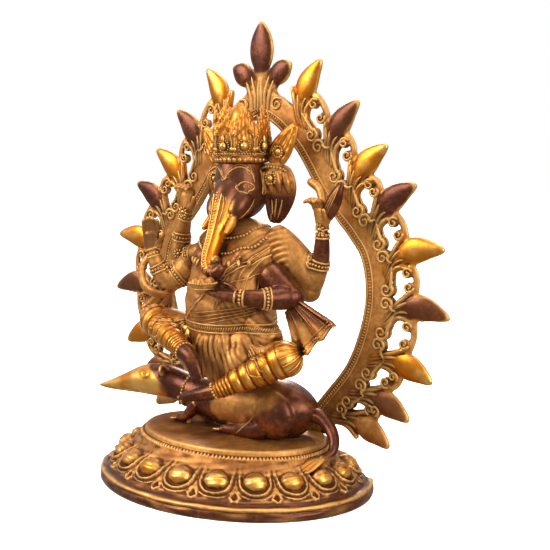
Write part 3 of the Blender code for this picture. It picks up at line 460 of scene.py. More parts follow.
def paint(piece, rule):
    """Marks each point's share of gold, maroon and dark, and how far its pale edges show, from a rule.

    The rule takes points and normals. The dark share holds dirt and, at some places, painted shade. Pale
    edges, worn and painted as highlight, show fully where it gives no fourth share.
    """
    shares = rule(points_of(piece), normals_of(piece))
    marks = (
        piece.data.attributes.get("finish") or piece.data.attributes.new("finish", "FLOAT_COLOR", "POINT")
    )
    values = np.stack([*shares, np.ones(len(shares[0]))][:4], axis=1)
    marks.data.foreach_set("color", np.clip(values, 0, 1).astype(np.float32).ravel())
    return piece


def brass(name, seed):
    """Brass that is matte, polished or lacquered as its finish attribute says, with dirt and painted shade
    in the recesses, and worn edges that double as painted highlight.
    """
    colours = bpy.context.scene.statue_finishes
    material = bpy.data.materials.new(f"{name}_finish")
    material.use_nodes = True
    tree = material.node_tree
    shader = tree.nodes["Principled BSDF"]

    def node(kind, **values):
        made = tree.nodes.new(kind)
        for key, value in values.items():
            setattr(made, key, value)
        return made

    place = node("ShaderNodeTexCoord")

    def noise(scale, detail, rough=0.55):
        made = node("ShaderNodeTexNoise", noise_dimensions="4D")
        made.inputs["W"].default_value = seed
        made.inputs["Scale"].default_value = scale
        made.inputs["Detail"].default_value = detail
        made.inputs["Roughness"].default_value = rough
        tree.links.new(place.outputs["Object"], made.inputs["Vector"])
        return made.outputs["Fac"]

    def math_of(kind, a, b, clamp=False):
        made = node("ShaderNodeMath", operation=kind, use_clamp=clamp)
        for socket, value in zip(made.inputs, (a, b)):
            if isinstance(value, (int, float)):
                socket.default_value = value
            else:
                tree.links.new(value, socket)
        return made.outputs[0]

    def eased(value, low, high, start=0.0, end=1.0):
        made = node("ShaderNodeMapRange", interpolation_type="SMOOTHSTEP")
        tree.links.new(value, made.inputs["Value"])
        for key, number in (("From Min", low), ("From Max", high), ("To Min", start), ("To Max", end)):
            made.inputs[key].default_value = number
        return made.outputs["Result"]

    def mixed(share, a, b):
        made = node("ShaderNodeMix", data_type="RGBA")
        tree.links.new(share, made.inputs["Factor"])
        for socket, value in ((made.inputs[6], a), (made.inputs[7], b)):
            if hasattr(value, "is_output"):
                tree.links.new(value, socket)
            else:
                socket.default_value = (*value, 1)
        return made.outputs[2]

    def blend(share, a, b):
        made = node("ShaderNodeMix", data_type="FLOAT")
        tree.links.new(share, made.inputs["Factor"])
        for socket, value in ((made.inputs[2], a), (made.inputs[3], b)):
            if isinstance(value, (int, float)):
                socket.default_value = value
            else:
                tree.links.new(value, socket)
        return made.outputs[0]

    def attribute(key):
        return node("ShaderNodeAttribute", attribute_name=key)

    parts = node("ShaderNodeSeparateColor")
    tree.links.new(attribute("finish").outputs["Color"], parts.inputs["Color"])
    gold_mark, maroon_mark, dark_mark = (parts.outputs[k] for k in ("Red", "Green", "Blue"))
    edge = math_of("MULTIPLY", attribute("edge").outputs["Fac"], attribute("finish").outputs["Alpha"])
    # The recess mark: painted shade where surfaces crowd in, and patina in the hollows.
    recess = attribute("recess").outputs["Fac"]
    blotch, mottle, speck = noise(70, 3), noise(310, 5, 0.65), noise(1700, 2)
    loose = math_of(
        "SUBTRACT", math_of("ADD", math_of("MULTIPLY", blotch, 0.6), math_of("MULTIPLY", mottle, 0.4)), 0.5
    )
    gold_share = eased(math_of("ADD", gold_mark, math_of("MULTIPLY", loose, 0.9)), 0.25, 0.75)
    rubbed = math_of("SUBTRACT", math_of("MULTIPLY", loose, 0.8), math_of("MULTIPLY", edge, 0.5))
    maroon_share = eased(math_of("ADD", maroon_mark, rubbed), 0.16, 0.80)
    # Dirt, tarnish and the painted shade of recesses and dark marks all take the patina colour.
    dirt_and_shade = math_of("ADD", recess, math_of("ADD", dark_mark, math_of("MULTIPLY", loose, 0.7)))
    grime_and_shade_share = eased(dirt_and_shade, 0.26, 0.94, 0.0, 0.95)
    # Pale worn edges, laid on ridges and beads also as a painted highlight.
    rubbed_edge_highlight_share = eased(math_of("ADD", edge, math_of("MULTIPLY", loose, 0.5)), 0.3, 1.0, 0.0, 0.5)

    matte = mixed(eased(mottle, 0.3, 0.7), colours.ochre_deep, colours.ochre)
    bright = mixed(eased(math_of("SUBTRACT", blotch, dark_mark), 0.3, 0.62), colours.gold_deep, colours.gold)
    lacquer = mixed(eased(loose, -0.06, 0.20), colours.maroon, colours.maroon_light)
    # The rust stain is also drawn into the recesses by their painted shade.
    stain = math_of("ADD", math_of("MULTIPLY", recess, 0.55), math_of("MULTIPLY", dark_mark, 0.5))
    rust_and_shade_share = eased(
        math_of("ADD", blotch, math_of("ADD", stain, math_of("MULTIPLY", loose, 0.5))), 0.46, 0.86, 0.0, 0.9
    )
    colour = mixed(gold_share, mixed(rust_and_shade_share, matte, colours.rust), bright)
    colour = mixed(maroon_share, colour, lacquer)
    colour = mixed(rubbed_edge_highlight_share, colour, colours.worn_and_highlight)
    colour = mixed(grime_and_shade_share, colour, colours.patina)
    tree.links.new(colour, shader.inputs["Base Color"])

    metal = blend(maroon_share, blend(gold_share, 0.78, 0.96), 0.72)
    tree.links.new(blend(grime_and_shade_share, metal, 0.85), shader.inputs["Metallic"])
    rough = blend(gold_share, eased(speck, 0.3, 0.7, 0.42, 0.56), eased(mottle, 0.3, 0.7, 0.28, 0.40))
    rough = blend(maroon_share, rough, eased(mottle, 0.3, 0.7, 0.24, 0.38))
    tree.links.new(blend(grime_and_shade_share, rough, 0.55), shader.inputs["Roughness"])

    bump = node("ShaderNodeBump")
    bump.inputs["Distance"].default_value = 0.35 * MM
    height = math_of("ADD", math_of("MULTIPLY", mottle, 0.6), math_of("MULTIPLY", speck, 0.4))
    tree.links.new(height, bump.inputs["Height"])
    tree.links.new(blend(gold_share, 0.30, 0.05), bump.inputs["Strength"])
    tree.links.new(bump.outputs["Normal"], shader.inputs["Normal"])
    return material


def set_on_frame(piece, body, slot, *nodes):
    """Gives a finished casting its material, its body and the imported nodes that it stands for."""
    piece.data.materials.clear()
    piece.data.materials.append(bpy.data.materials[f"{slot}_finish"])
    pick(piece)
    bpy.ops.object.shade_smooth()
    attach(piece, body)
    if nodes:
        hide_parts(*nodes)
    return piece


def shaded_and_tarnished(piece, ornaments):
    """A casting darkened round the chasing that is laid on it: tarnish, and painted contact shade."""
    spots = np.concatenate([points_of(o)[::2] for o in ornaments])
    tree = KDTree(len(spots))
    for k, spot in enumerate(spots):
        tree.insert(spot, k)
    tree.balance()
    gap = np.array([tree.find(p)[2] for p in points_of(piece)])
    marks = piece.data.attributes["finish"].data
    values = np.empty(len(gap) * 4, np.float32)
    marks.foreach_get("color", values)
    # Darkening where chasing meets the skin: tarnish, and painted contact shade.
    values[2::4] = np.minimum(1, values[2::4] + 0.38 * np.exp(-((gap / 1.0) ** 2)))
    marks.foreach_set("color", values)
    return piece


def dressed(piece, ornaments):
    """Chasing joined to its casting, darkened where the two meet with tarnish and painted contact shade."""
    return joined(piece.name, [shaded_and_tarnished(piece, ornaments), *ornaments])


def grain_of(share=1.0):
    return bpy.context.scene.statue_sizes.grain * share


def near_line(points, line):
    """Least distance from points to a polyline."""
    best = np.full(len(points), 1e9)
    line = np.asarray(line, float)
    for a, b in zip(line, line[1:]):
        run = b - a
        t = np.clip((points - a) @ run / max(run @ run, 1e-9), 0, 1)
        best = np.minimum(best, np.linalg.norm(points - (a + t[:, None] * run), axis=1))
    return best


class STATUE_OT_finishes(bpy.types.Operator):
    """Mix the three brass finishes"""

    bl_idname = "statue.finishes"
    bl_label = "Finishes"

    def execute(self, context):
        for seed, name in enumerate(("antique_brass", "polished_brass", "maroon_patina")):
            brass(name, 1.7 + seed * 3.1)
        return {"FINISHED"}


# Lotus base

BASE_MIDDLE_Y = 20.5
BASE_WIDE, BASE_DEEP = 97.5, 76.0
SLOPE_FOOT, SLOPE_TOP = (6.2, 10.2), (26.0, 27.2)  # inset from the foot's oval, height
SLOPE_START, SLOPE_ROWS = 17, 40  # rows of the profile that the petals stand on
TICK_ROW = 12.6  # row of the ticked ring
PETAL_TURN = 0.35  # share of a petal that the first one is turned by
BASE_HOLES = (((0, 26), 3.3), ((-34, 14.5), 1.9), ((40, 27), 1.9))  # tie rod, then rivets
TENON_X = 43  # middle of each tenon and socket, either side
PLANE_Y = 51.0  # middle of the aureole's thickness


def base_profile():
    """Rows of (inset, height, share of the oval) from the middle of the plate down to the foot."""
    rows = [(32.5, 34.0, s) for s in (0.02, 0.3, 0.6, 0.85, 0.97)]
    rows += [(32.5, 34.0, 1), (31.6, 33.8, 1), (30.9, 33.2, 1), (30.4, 32.2, 1), (30.1, 31.2, 1)]
    rows += [
        (29.9, 30.4, 1), (29.3, 30.2, 1), (28.6, 30.3, 1), (27.8, 30.1, 1), (27.2, 29.5, 1), (27.0, 28.7, 1),
        (26.6, 28.0, 1)
    ]
    for k in range(SLOPE_ROWS + 1):
        t = k / SLOPE_ROWS
        inset = SLOPE_TOP[0] + (SLOPE_FOOT[0] - SLOPE_TOP[0]) * t
        height = SLOPE_TOP[1] + (SLOPE_FOOT[1] - SLOPE_TOP[1]) * t
        rows.append((inset, height - 2.4 * math.sin(math.pi * t) + 2.6 * math.sin(math.pi * t) ** 3 * t, 1))
    rows += [
        (5.4, 9.3, 1), (4.6, 8.6, 1), (3.4, 8.3, 1), (2.2, 8.2, 1), (1.2, 8.0, 1), (0.5, 7.4, 1),
        (0.3, 6.6, 1)
    ]
    rows += [
        (0.7, 5.9, 1), (1.0, 5.4, 1), (0.7, 4.9, 1), (0.2, 4.2, 1), (0.0, 3.0, 1), (0.0, 1.8, 1),
        (0.3, 0.7, 1), (0.9, 0.0, 1)
    ]
    rows += [(3.0, 0.0, 1), (3.0, 0.0, 0.6)]
    return np.array(rows)


def petal_relief(a, s):
    """Relief height and boss share at a across one petal (-1 to 1) and s up the slope (0 to 1)."""
    low = np.minimum(s - 0.52, 0) / 0.27
    high = np.maximum(s - 0.52, 0)
    wide = np.abs(a) * (1 - 0.10 * high / 0.5)
    round_boss = np.sqrt((a / (0.66 - 0.12 * (s - 0.52))) ** 2 + ((s - 0.54) / 0.255) ** 2)
    cup = np.sqrt((wide / 0.61) ** 2 + low**2)
    fade = 1 - ramp(s, 0.55, 0.97)
    boss = np.sqrt(np.maximum(0, 1 - round_boss**2.2))
    ridges = 2.5 * np.exp(-(((cup - 1.30) / 0.14) ** 2)) + 1.6 * np.exp(-(((cup - 1.66) / 0.11) ** 2))
    gap = np.abs(np.abs(a) - 1)
    leaf = gap / 0.24 + np.abs(s - 0.12) / 0.16
    small = 1.5 * np.exp(-(((leaf - 1.0) / 0.28) ** 2)) - 0.9 * np.exp(-((leaf / 0.5) ** 2))
    skirt = 0.8 * ramp(1.60 - cup, 0, 0.3)
    return (ridges * ramp(s, -0.02, 0.10) + skirt) * fade + small * (s < 0.4) + boss * 5.0, boss


def across_petal(turn):
    """Place across its petal, from -1 to 1, of an angle round the oval."""
    count = bpy.context.scene.statue_sizes.petals
    return (turn / (2 * np.pi) * count - PETAL_TURN + 0.5) % 1.0 * 2 - 1


def base_place(points):
    """Across-petal and up-slope shares of points on the base."""
    s = (points[:, 2] - SLOPE_FOOT[1]) / (SLOPE_TOP[1] - SLOPE_FOOT[1])
    inset = SLOPE_FOOT[0] + (SLOPE_TOP[0] - SLOPE_FOOT[0]) * np.clip(s, 0, 1)
    turn = np.arctan2(
        (points[:, 1] - BASE_MIDDLE_Y) / (BASE_DEEP - inset), points[:, 0] / (BASE_WIDE - inset)
    )
    return across_petal(turn), s


def base_solid(profile, segments, shrink=0.0):
    """A closed oval turned from a profile."""
    made = new_ball(segments, len(profile) + 1)
    start = points_of(made) * MM
    t = np.arccos(np.clip(start[:, 2], -1, 1)) / np.pi * (len(profile) + 1) - 1
    turn = np.arctan2(start[:, 1], start[:, 0])
    at = np.clip(t, 0, len(profile) - 1)
    inset, height, share = (np.interp(at, np.arange(len(profile)), profile[:, k]) for k in range(3))
    share = np.where((t < -0.5) | (t > len(profile) - 0.5), 0, share)
    x = (BASE_WIDE - inset - shrink) * share * np.cos(turn)
    y = BASE_MIDDLE_Y + (BASE_DEEP - inset - shrink) * share * np.sin(turn)
    move_to(made, np.stack([x, y, height], axis=1))
    return made, turn, at


class STATUE_OT_lotus_base(bpy.types.Operator):
    """Turn the oval base, raise its petals and ticked ring, cut its flat back, hollow and sockets"""

    bl_idname = "statue.lotus_base"
    bl_label = "Lotus base"

    def execute(self, context):
        count = context.scene.statue_sizes.petals
        profile = base_profile()
        piece, turn, at = base_solid(profile, count * 34)
        points = points_of(piece)
        a = across_petal(turn)
        s = 1 - (at - SLOPE_START) / SLOPE_ROWS
        on_slope = (at >= SLOPE_START) & (at <= SLOPE_START + SLOPE_ROWS)
        relief, _ = petal_relief(a, np.clip(s, 0, 1))
        out = np.stack([np.cos(turn) * 0.62, np.sin(turn) * 0.72, np.full(len(turn), 0.72)], axis=1)
        points += unit(out) * (relief * on_slope)[:, None]
        on_ring = np.exp(-(((at - TICK_ROW) / 1.7) ** 2))
        points[:, 2] += 0.75 * on_ring * np.sign(np.sin(turn * count * 8)) * 0.8
        uneven = 0.35 * np.sin(turn * 23 + 0.7 * at) * np.sin(turn * 9 - 0.4 * at)
        points += unit(out) * (uneven * (at > SLOPE_START - 1))[:, None]
        hammered = np.sin(points[:, 0] * 0.21 + 1.3) * np.sin(points[:, 1] * 0.27) * 0.12
        points[:, 2] += np.where(at < 5, np.minimum(hammered, 0), 0)
        move_to(piece, points)
        piece.name = "lotus_base_casting"
        self.trim(piece, BASE_BACK)
        hollow = np.array([
            (36.5, 29, 0.05), (36.5, 29, 1), (32.5, 27, 1), (11, 10.5, 1), (4, 5, 1), (4, -1, 1),
            (4, -1, 0.05)
        ])
        inside, _, _ = base_solid(hollow, 96)
        self.trim(inside, 51.5)
        for wall in [block((side * TENON_X, 53, 26), (15.6, 9.4, 16.2)) for side in (-1, 1)]:
            self.cut(inside, wall)
        self.cut(piece, inside)
        for side in (-1, 1):
            self.cut(piece, block((side * TENON_X, PLANE_Y, 29.9), (10.6, 4.2, 14.4)))
        for place, radius in BASE_HOLES:
            self.cut(piece, self.drill(place, radius))
        paint(piece, self.finish)
        set_on_frame(piece, "statue", "antique_brass", "lotus_base")
        return {"FINISHED"}

    def trim(self, piece, back):
        self.cut(piece, block((0, back + 50, 20), (260, 100, 80)))

    def drill(self, place, radius):
        bpy.ops.object.select_all(action="DESELECT")
        bpy.ops.mesh.primitive_cylinder_add(
            vertices=20, radius=radius * MM, depth=14 * MM, location=(place[0] * MM, place[1] * MM, 32 * MM)
        )
        bpy.ops.object.transform_apply(location=True, rotation=True, scale=True)
        return bpy.context.object

    def cut(self, piece, tool):
        modify(piece, "BOOLEAN", object=tool, operation="DIFFERENCE", solver="MANIFOLD")
        bpy.data.objects.remove(tool)

    def finish(self, points, normals):
        a, s = base_place(points)
        x, y, z = points.T
        relief, boss = petal_relief(a, np.clip(s, 0, 1))
        slope = (z > 9.5) & (z < 29)
        gold = np.where(slope, 0.75 * ramp(boss, 0.3, 0.85) + 0.06, 0.05)
        patch = 0.5 + 0.25 * np.sin(x * 0.11 + y * 0.16) + 0.25 * np.sin(x * 0.29 - y * 0.23 + z)
        low = np.exp(-(((z - 9.2) / 1.5) ** 2)) * 0.95 + ramp(5.9 - z, 0, 1.2) * (0.55 + 0.5 * patch)
        low = np.maximum(low, 0.55 * patch * ramp(8.6 - z, 0, 1))
        foot = np.exp(-(((z - 12.6) / 2.6) ** 2)) * 0.75 * (np.abs(a) < 0.8)
        maroon = np.where(z < 15.5, np.maximum(low, foot), 0.05)
        plate_top = ramp(z, 32.7, 33.6)
        creep = 7 * np.sin(x * 0.13 + y * 0.07) + 5 * np.sin(y * 0.21 - x * 0.05)
        maroon = np.where(z > 31, 0.25 * plate_top * ramp(30 - x, 0, 50), maroon)
        valley = 0.16 * (1 - ramp(relief, 0.2, 1.5)) + 0.14 * ramp(z, 23, 28)
        dark = 0.32 * plate_top * ramp(38 - x + creep, 0, 50) + (0.06 + valley) * slope
        # Faces turned down, under the lips and inside the hollow, get a painted shade.
        inner = (normals[:, 2] < -0.3) & (z < 29.5) & (z > 1)
        # Pale edges, worn and painted as highlight, are held back at the foot and on the plate top.
        wear_and_highlight = np.where(z < 7.2, 0.22, 1.0) * (1 - 0.5 * plate_top)
        return gold * (1 - plate_top), maroon, np.where(inner, 0.5, dark), wear_and_highlight


# Rat


class STATUE_OT_rat(bpy.types.Operator):
    """Model the rat with its legs, ears and face, and its tail with a tuft"""

    bl_idname = "statue.rat"
    bl_label = "Rat"

    def execute(self, context):
        self.body()
        self.tail()
        return {"FINISHED"}

    def body(self):
        rows = (
            (62, 28, 48, 3, 3.5), (55, 28, 50, 12.5, 13), (40, 27, 51, 18.5, 19), (23, 26, 50, 19, 19.5),
            (4, 25, 50, 16.5, 17.5), (-15, 25, 50, 14.5, 15), (-31, 24, 52, 12.2, 12.6),
            (-47, 22, 56, 10.2, 10.6), (-61, 19, 58.5, 11.2, 11.6), (-75, 16, 58, 10, 10.4),
            (-91, 13, 54.5, 6.8, 6.8), (-105, 10.5, 51.5, 3.8, 3.9), (-116.5, 8.6, 50, 1.6, 1.5)
        )
        shapes = [limb(rows, 36, 90, (0, 1, 0.01))]
        for side in (-1, 1):
            y = 26 + 12.5 * side
            shapes.append(ball((37, 26 + 11.5 * side, 50), (17, 8.4, 15.5), (0, 18, 0)))
            shapes.append(limb([
                (34, y + side * 2, 42, 8, 5.5), (24, y + side * 4, 38.5, 6, 4.5),
                (10, y + side * 4, 36.6, 3.6, 3), (2, y + side * 4, 36, 3.4, 2.4),
                (-3, y + side * 3.6, 35.6, 2.2, 1.6)
            ], 14, 30, (0, 0.1, 1)))
            shapes.append(limb([
                (-24, 25 + 9 * side, 50, 7.5, 6), (-31, 25 + 10 * side, 43, 5, 4.5),
                (-37, 25 + 10.5 * side, 37.5, 3.8, 3.4), (-45, 25 + 10.5 * side, 36.0, 3.4, 2.2)
            ], 14, 26, (0, 1, 0)))
            for k in (-1, 0, 1):
                shapes.append(limb([
                    (-43, 25 + 10.5 * side + k * 2, 36, 1.4), (-49, 25 + 10.5 * side + k * 2.8, 35.4, 0.9)
                ], 8, 12))
                shapes.append(limb([
                    (0, y + side * 3.8 + k * 2, 36, 1.4), (-7, y + side * 3.6 + k * 2.6, 35.3, 0.9)
                ], 8, 12))
            shapes.append(ball((-55, 20 + 8.4 * side, 67), (2.2, 3.4, 4.6), (0, -24, 35 * side)))
            shapes.append(ball((-68, 17.2 + 6.6 * side, 61.5), (6, 3.6, 4.2), (0, 0, 14 * side)))
        piece = melted("rat_casting", shapes, grain_of(), 3)
        skin = Skin(piece)
        chased = []
        for side in (-1, 1):
            eye = [
                (
                    -69 + 5.0 * math.cos(k * math.pi / 12), 16.5 + side * 8.5,
                    64.5 + 2.7 * math.sin(k * math.pi / 12)
                )
                for k in range(24)
            ]
            chased.append(raised(skin, eye, 0.45, closed=True))
            place, out = skin.near((-69, 16.5 + side * 8.5, 64.5), 0.1)
            chased.append(stud((12, 8), place, out, (1, 0, 0), (1.5, 1.5, 0.8), maroon=0.8))
            mouth = [
                (-112 + k * 3.2, 9.5 + k * 0.5 + side * (1.5 + k * 0.55), 48.6 + k * 0.06) for k in range(12)
            ]
            chased.append(raised(skin, mouth, 0.3, taper=True))
            claw = [
                (14, 26 + side * 19, 36), (20, 26 + side * 19, 40), (26, 26 + side * 18, 47),
                (30, 26 + side * 18, 52)
            ]
            chased.append(raised(skin, drawn(claw, 12), 0.5, taper=True))
        collar = hoop((-40, 23, 54), (-1, -0.15, 0.25), 11)
        chased.append(beads(skin, collar, 1.0, closed=True))
        piece = dressed(paint(piece, self.finish), chased)
        set_on_frame(piece, "statue", "maroon_patina", "rat_body")

    def finish(self, points, normals):
        x, y, z = points.T
        creep = 2.2 * np.sin(x * 0.23 + z * 0.19) + 1.5 * np.sin(x * 0.41 - z * 0.35 + y * 0.3)
        head = ramp(-x + creep * 0.4, 46, 62) * ramp(67 - z - 0.6 * (x + 62), 0, 5)
        flank = np.minimum(
            np.hypot((x - 22 + creep) / 24, (z - 60) / 12), np.hypot((x - 7 + creep) / 18, (z - 48) / 11)
        )
        haunch = np.hypot((x - 52) / 20, (z - 45 + creep) / 13)
        bare = ramp(1.35 - flank, 0, 0.7) * ramp(z, 38, 43) * ramp(haunch, 0.6, 1.2)
        return head * 0.95 + 0.22 * bare, (1 - head) * (0.95 - 0.72 * bare), 0.12 * (1 - head)

    def tail(self):
        rows = (
            (56, 29, 50.5, 6.0), (65, 28.5, 49, 4.9), (73, 26.5, 44, 4.1), (78.5, 23, 38, 3.4),
            (80, 18, 32, 3.0), (75.5, 11.5, 28.6, 3.0)
        )
        shapes = [limb(rows, 18, 60, (0, 1, 0.1))]
        for k in range(5):
            spread = (k - 2) / 2
            shapes.append(limb([
                (77.5, 14, 29.4, 1.8), (73.5 + spread * 3.5, 10, 27.8 - abs(spread) * 0.8, 1.9),
                (69.5 + spread * 6, 5, 25.2 - abs(spread) * 1.2, 1.6),
                (67.5 + spread * 6, 0.5, 22.8 - abs(spread), 0.6)
            ], 10, 20, (1, 0, 0.1)))
        piece = melted("rat_tail_casting", shapes, grain_of(0.7), 1)
        tuft = lambda p, n: (
            ramp(31 - p[:, 2], 0, 4) * 0.5, ramp(p[:, 2], 26, 33) * 0.95, np.full(len(p), 0.15)
        )
        set_on_frame(paint(piece, tuft), "statue", "maroon_patina", "rat_tail")


# Figure


class STATUE_OT_torso(bpy.types.Operator):
    """Model the body with its belly, draped cloth, necklaces, cross cord and belt"""

    bl_idname = "statue.torso"
    bl_label = "Body"

    def execute(self, context):
        rows = (
            (0, 26, 63.5, 26, 17), (0, 24.5, 86, 33, 20.5), (0, 20, 101, 32, 24.5),
            (0, 18.2, 118, 31.5, 26.5), (0, 20, 132, 29.5, 24.5), (0, 25, 146, 32, 19.5),
            (0, 28, 156, 32.6, 16.6), (0, 28.3, 164, 26, 14.2), (0, 28, 172, 12, 11.5)
        )
        shapes = [limb(rows, 44, 80, (1, 0, 0), dome=14)]
        for side in (-1, 1):
            shapes.append(ball((side * 14, 13, 146), (11.5, 8, 9)))
        for k in range(5):
            x = 4 + (k - 2) * 5.2
            shapes.append(limb([
                (x * 0.6, 0.5, 111, 1.6), (x * 0.8, -1.2, 104, 2.6), (x, -2.6, 94, 3.4),
                (x * 1.1, -2.2, 80, 3.2), (x * 1.15, 0, 70, 2.6)
            ], 12, 34, (1, 0, 0)))
        shapes += [
            ball((19, 6, 93), (17, 9, 13), (0, 12, 0)), ball((4, 5, 87), (18, 9.0, 22)),
            ball((22, 0, 82), (11, 8, 13))
        ]
        shapes.append(limb([
            (18, 13, 111, 9, 9), (32, 10, 103, 11, 9), (45, 7, 95, 9, 8)
        ], 20, 30, (0.5, 0, 0.85)))
        piece = self.draped(melted("torso_casting", shapes, grain_of(), 3))
        skin = Skin(piece)
        chased = []
        for drop, reach in ((3, 17), (13, 24)):
            arc = [
                (
                    reach * math.sin(a), 28 - reach * math.cos(a),
                    163 - drop * (0.25 + 0.75 * math.cos(a * 0.8))
                )
                for a in np.linspace(-1.9, 1.9, 40)
            ]
            chased.append(beads(skin, arc, 1.05))
        for k in range(9):
            a = -0.9 + 1.8 * k / 8
            place, out = skin.near((27 * math.sin(a), 28 - 27 * math.cos(a), 141 + 4 * abs(a)), 0.3)
            chased.append(stud((10, 7), place, out, (0, 0, 1), (2.6, 1.4, 1.2), gold=0.2))
        for k in range(7):
            sleeve = [
                (45 + (15 + 3.2 * k) * math.cos(a), -60, 133 + (15 + 3.2 * k) * math.sin(a))
                for a in np.linspace(1.75, 3.8, 30)
            ]
            chased.append(raised(skin, skin.cast(sleeve, (0.15, 1, 0)), 0.6 if k % 2 else 0.45, taper=True))
        for offset in (-1.6, 0, 1.6):
            cord = [
                (20 + offset, -2, 150 + offset), (6 + offset, -14, 132 + offset),
                (-14 + offset, -12, 114 + offset), (-29 + offset, 8, 104 + offset)
            ]
            path = drawn(cord, 36)
            chased.append(raised(skin, path, 0.5) if offset else hatched(skin, path, 2.2, 0.7, 1.6))
        for k in range(4):
            drape = lambda a: 117 - 2.6 * k - 3 * math.cos(a) + (4 + k) * math.sin(a)
            swag = self.girdle(skin, np.linspace(-0.6, 1.35, 30), drape)
            chased.append(raised(skin, swag, 0.4, taper=True))
        for height, kind in ((109.5, "line"), (107, "hatch"), (104.5, "line")):
            turns = np.linspace(-math.pi, math.pi, 72, endpoint=False)
            belt = self.girdle(skin, turns, lambda a: height - 3.5 * math.cos(a))
            if kind == "line":
                chased.append(raised(skin, belt, 0.6, closed=True))
            else:
                chased.append(hatched(skin, belt, 3.4, 0.9, 1.7, closed=True, lean=0.6))
        for k in range(4):
            back = [(x, 60, 100 + k * 14 + 0.004 * x * x) for x in np.linspace(-30, 30, 30)]
            chased.append(raised(skin, back, 0.5) if k % 2 else beads(skin, back, 0.9, 2.4))
        piece = dressed(paint(piece, self.finish), chased)
        set_on_frame(piece, "statue", "antique_brass", "torso")
        return {"FINISHED"}

    def girdle(self, skin, turns, height):
        """A line round the body, at the height that each turn is given."""
        ring = [(60 * math.sin(a), 22 - 60 * math.cos(a), height(a)) for a in turns]
        return skin.cast(ring, [(-math.sin(a), math.cos(a), 0) for a in turns])

    def fan(self, x, z):
        """Place across the apron's folds, which spread from above the belt."""
        return np.arctan2(x - 3, 132 - z) * 34 + 1.2 * np.sin(z * 0.22)

    def draped(self, piece):
        """Cloth folds that fall from the belt and spread towards the knees."""
        points, normals = points_of(piece), normals_of(piece)
        x, _, z = points.T
        cloth = ramp(101 - z, 0, 6) * ramp(-normals[:, 1], -0.2, 0.3)
        chest = ramp(z, 112, 120) * ramp(-normals[:, 1], 0.0, 0.5)
        folds = (
            0.55 * np.abs(np.sin(self.fan(x, z) * 0.9)) * cloth + 0.25 * np.sin((z + 0.5 * x) * 0.6) * chest
        )
        move_to(piece, points + normals * folds[:, None])
        return piece

    def finish(self, points, normals):
        x, _, z = points.T
        # The chest below the head takes maroon lacquer and a dark share that is partly patina, partly the
        # head's painted shadow.
        chest = ramp(z, 126, 144) * ramp(14 - x, 0, 16)
        folds = 0.45 * (1 - np.abs(np.sin(self.fan(x, z) * 0.9))) ** 2 * ramp(101 - z, 0, 6)
        away = np.hypot(x - 45, z - 133)
        ripple = (
            0.4 * np.cos((away - 16.6) * math.pi / 3.2) ** 2 * ramp(away, 12, 15) * ramp(40 - away, 0, 6)
            * ramp(-normals[:, 1], 0.1, 0.4)
        )
        smoke = (
            0.30 * ramp(101 - z, 0, 6)
            * (0.5 + 0.5 * np.sin(x * 0.19 + z * 0.11) * np.sin(z * 0.16 - x * 0.07))
        )
        return (
            np.full(len(x), 0.06), 0.45 * chest * ramp(-normals[:, 1], 0, 0.5),
            0.10 + 0.35 * chest + folds + ripple + smoke
        )


HEAD_CENTRE = vec(1.0, 28.5, 190.0)


def head_spot(x, y, z, *sizes):
    """A place given from the middle of the head, with any sizes that follow it."""
    return (HEAD_CENTRE[0] + x, HEAD_CENTRE[1] + y, HEAD_CENTRE[2] + z, *sizes)


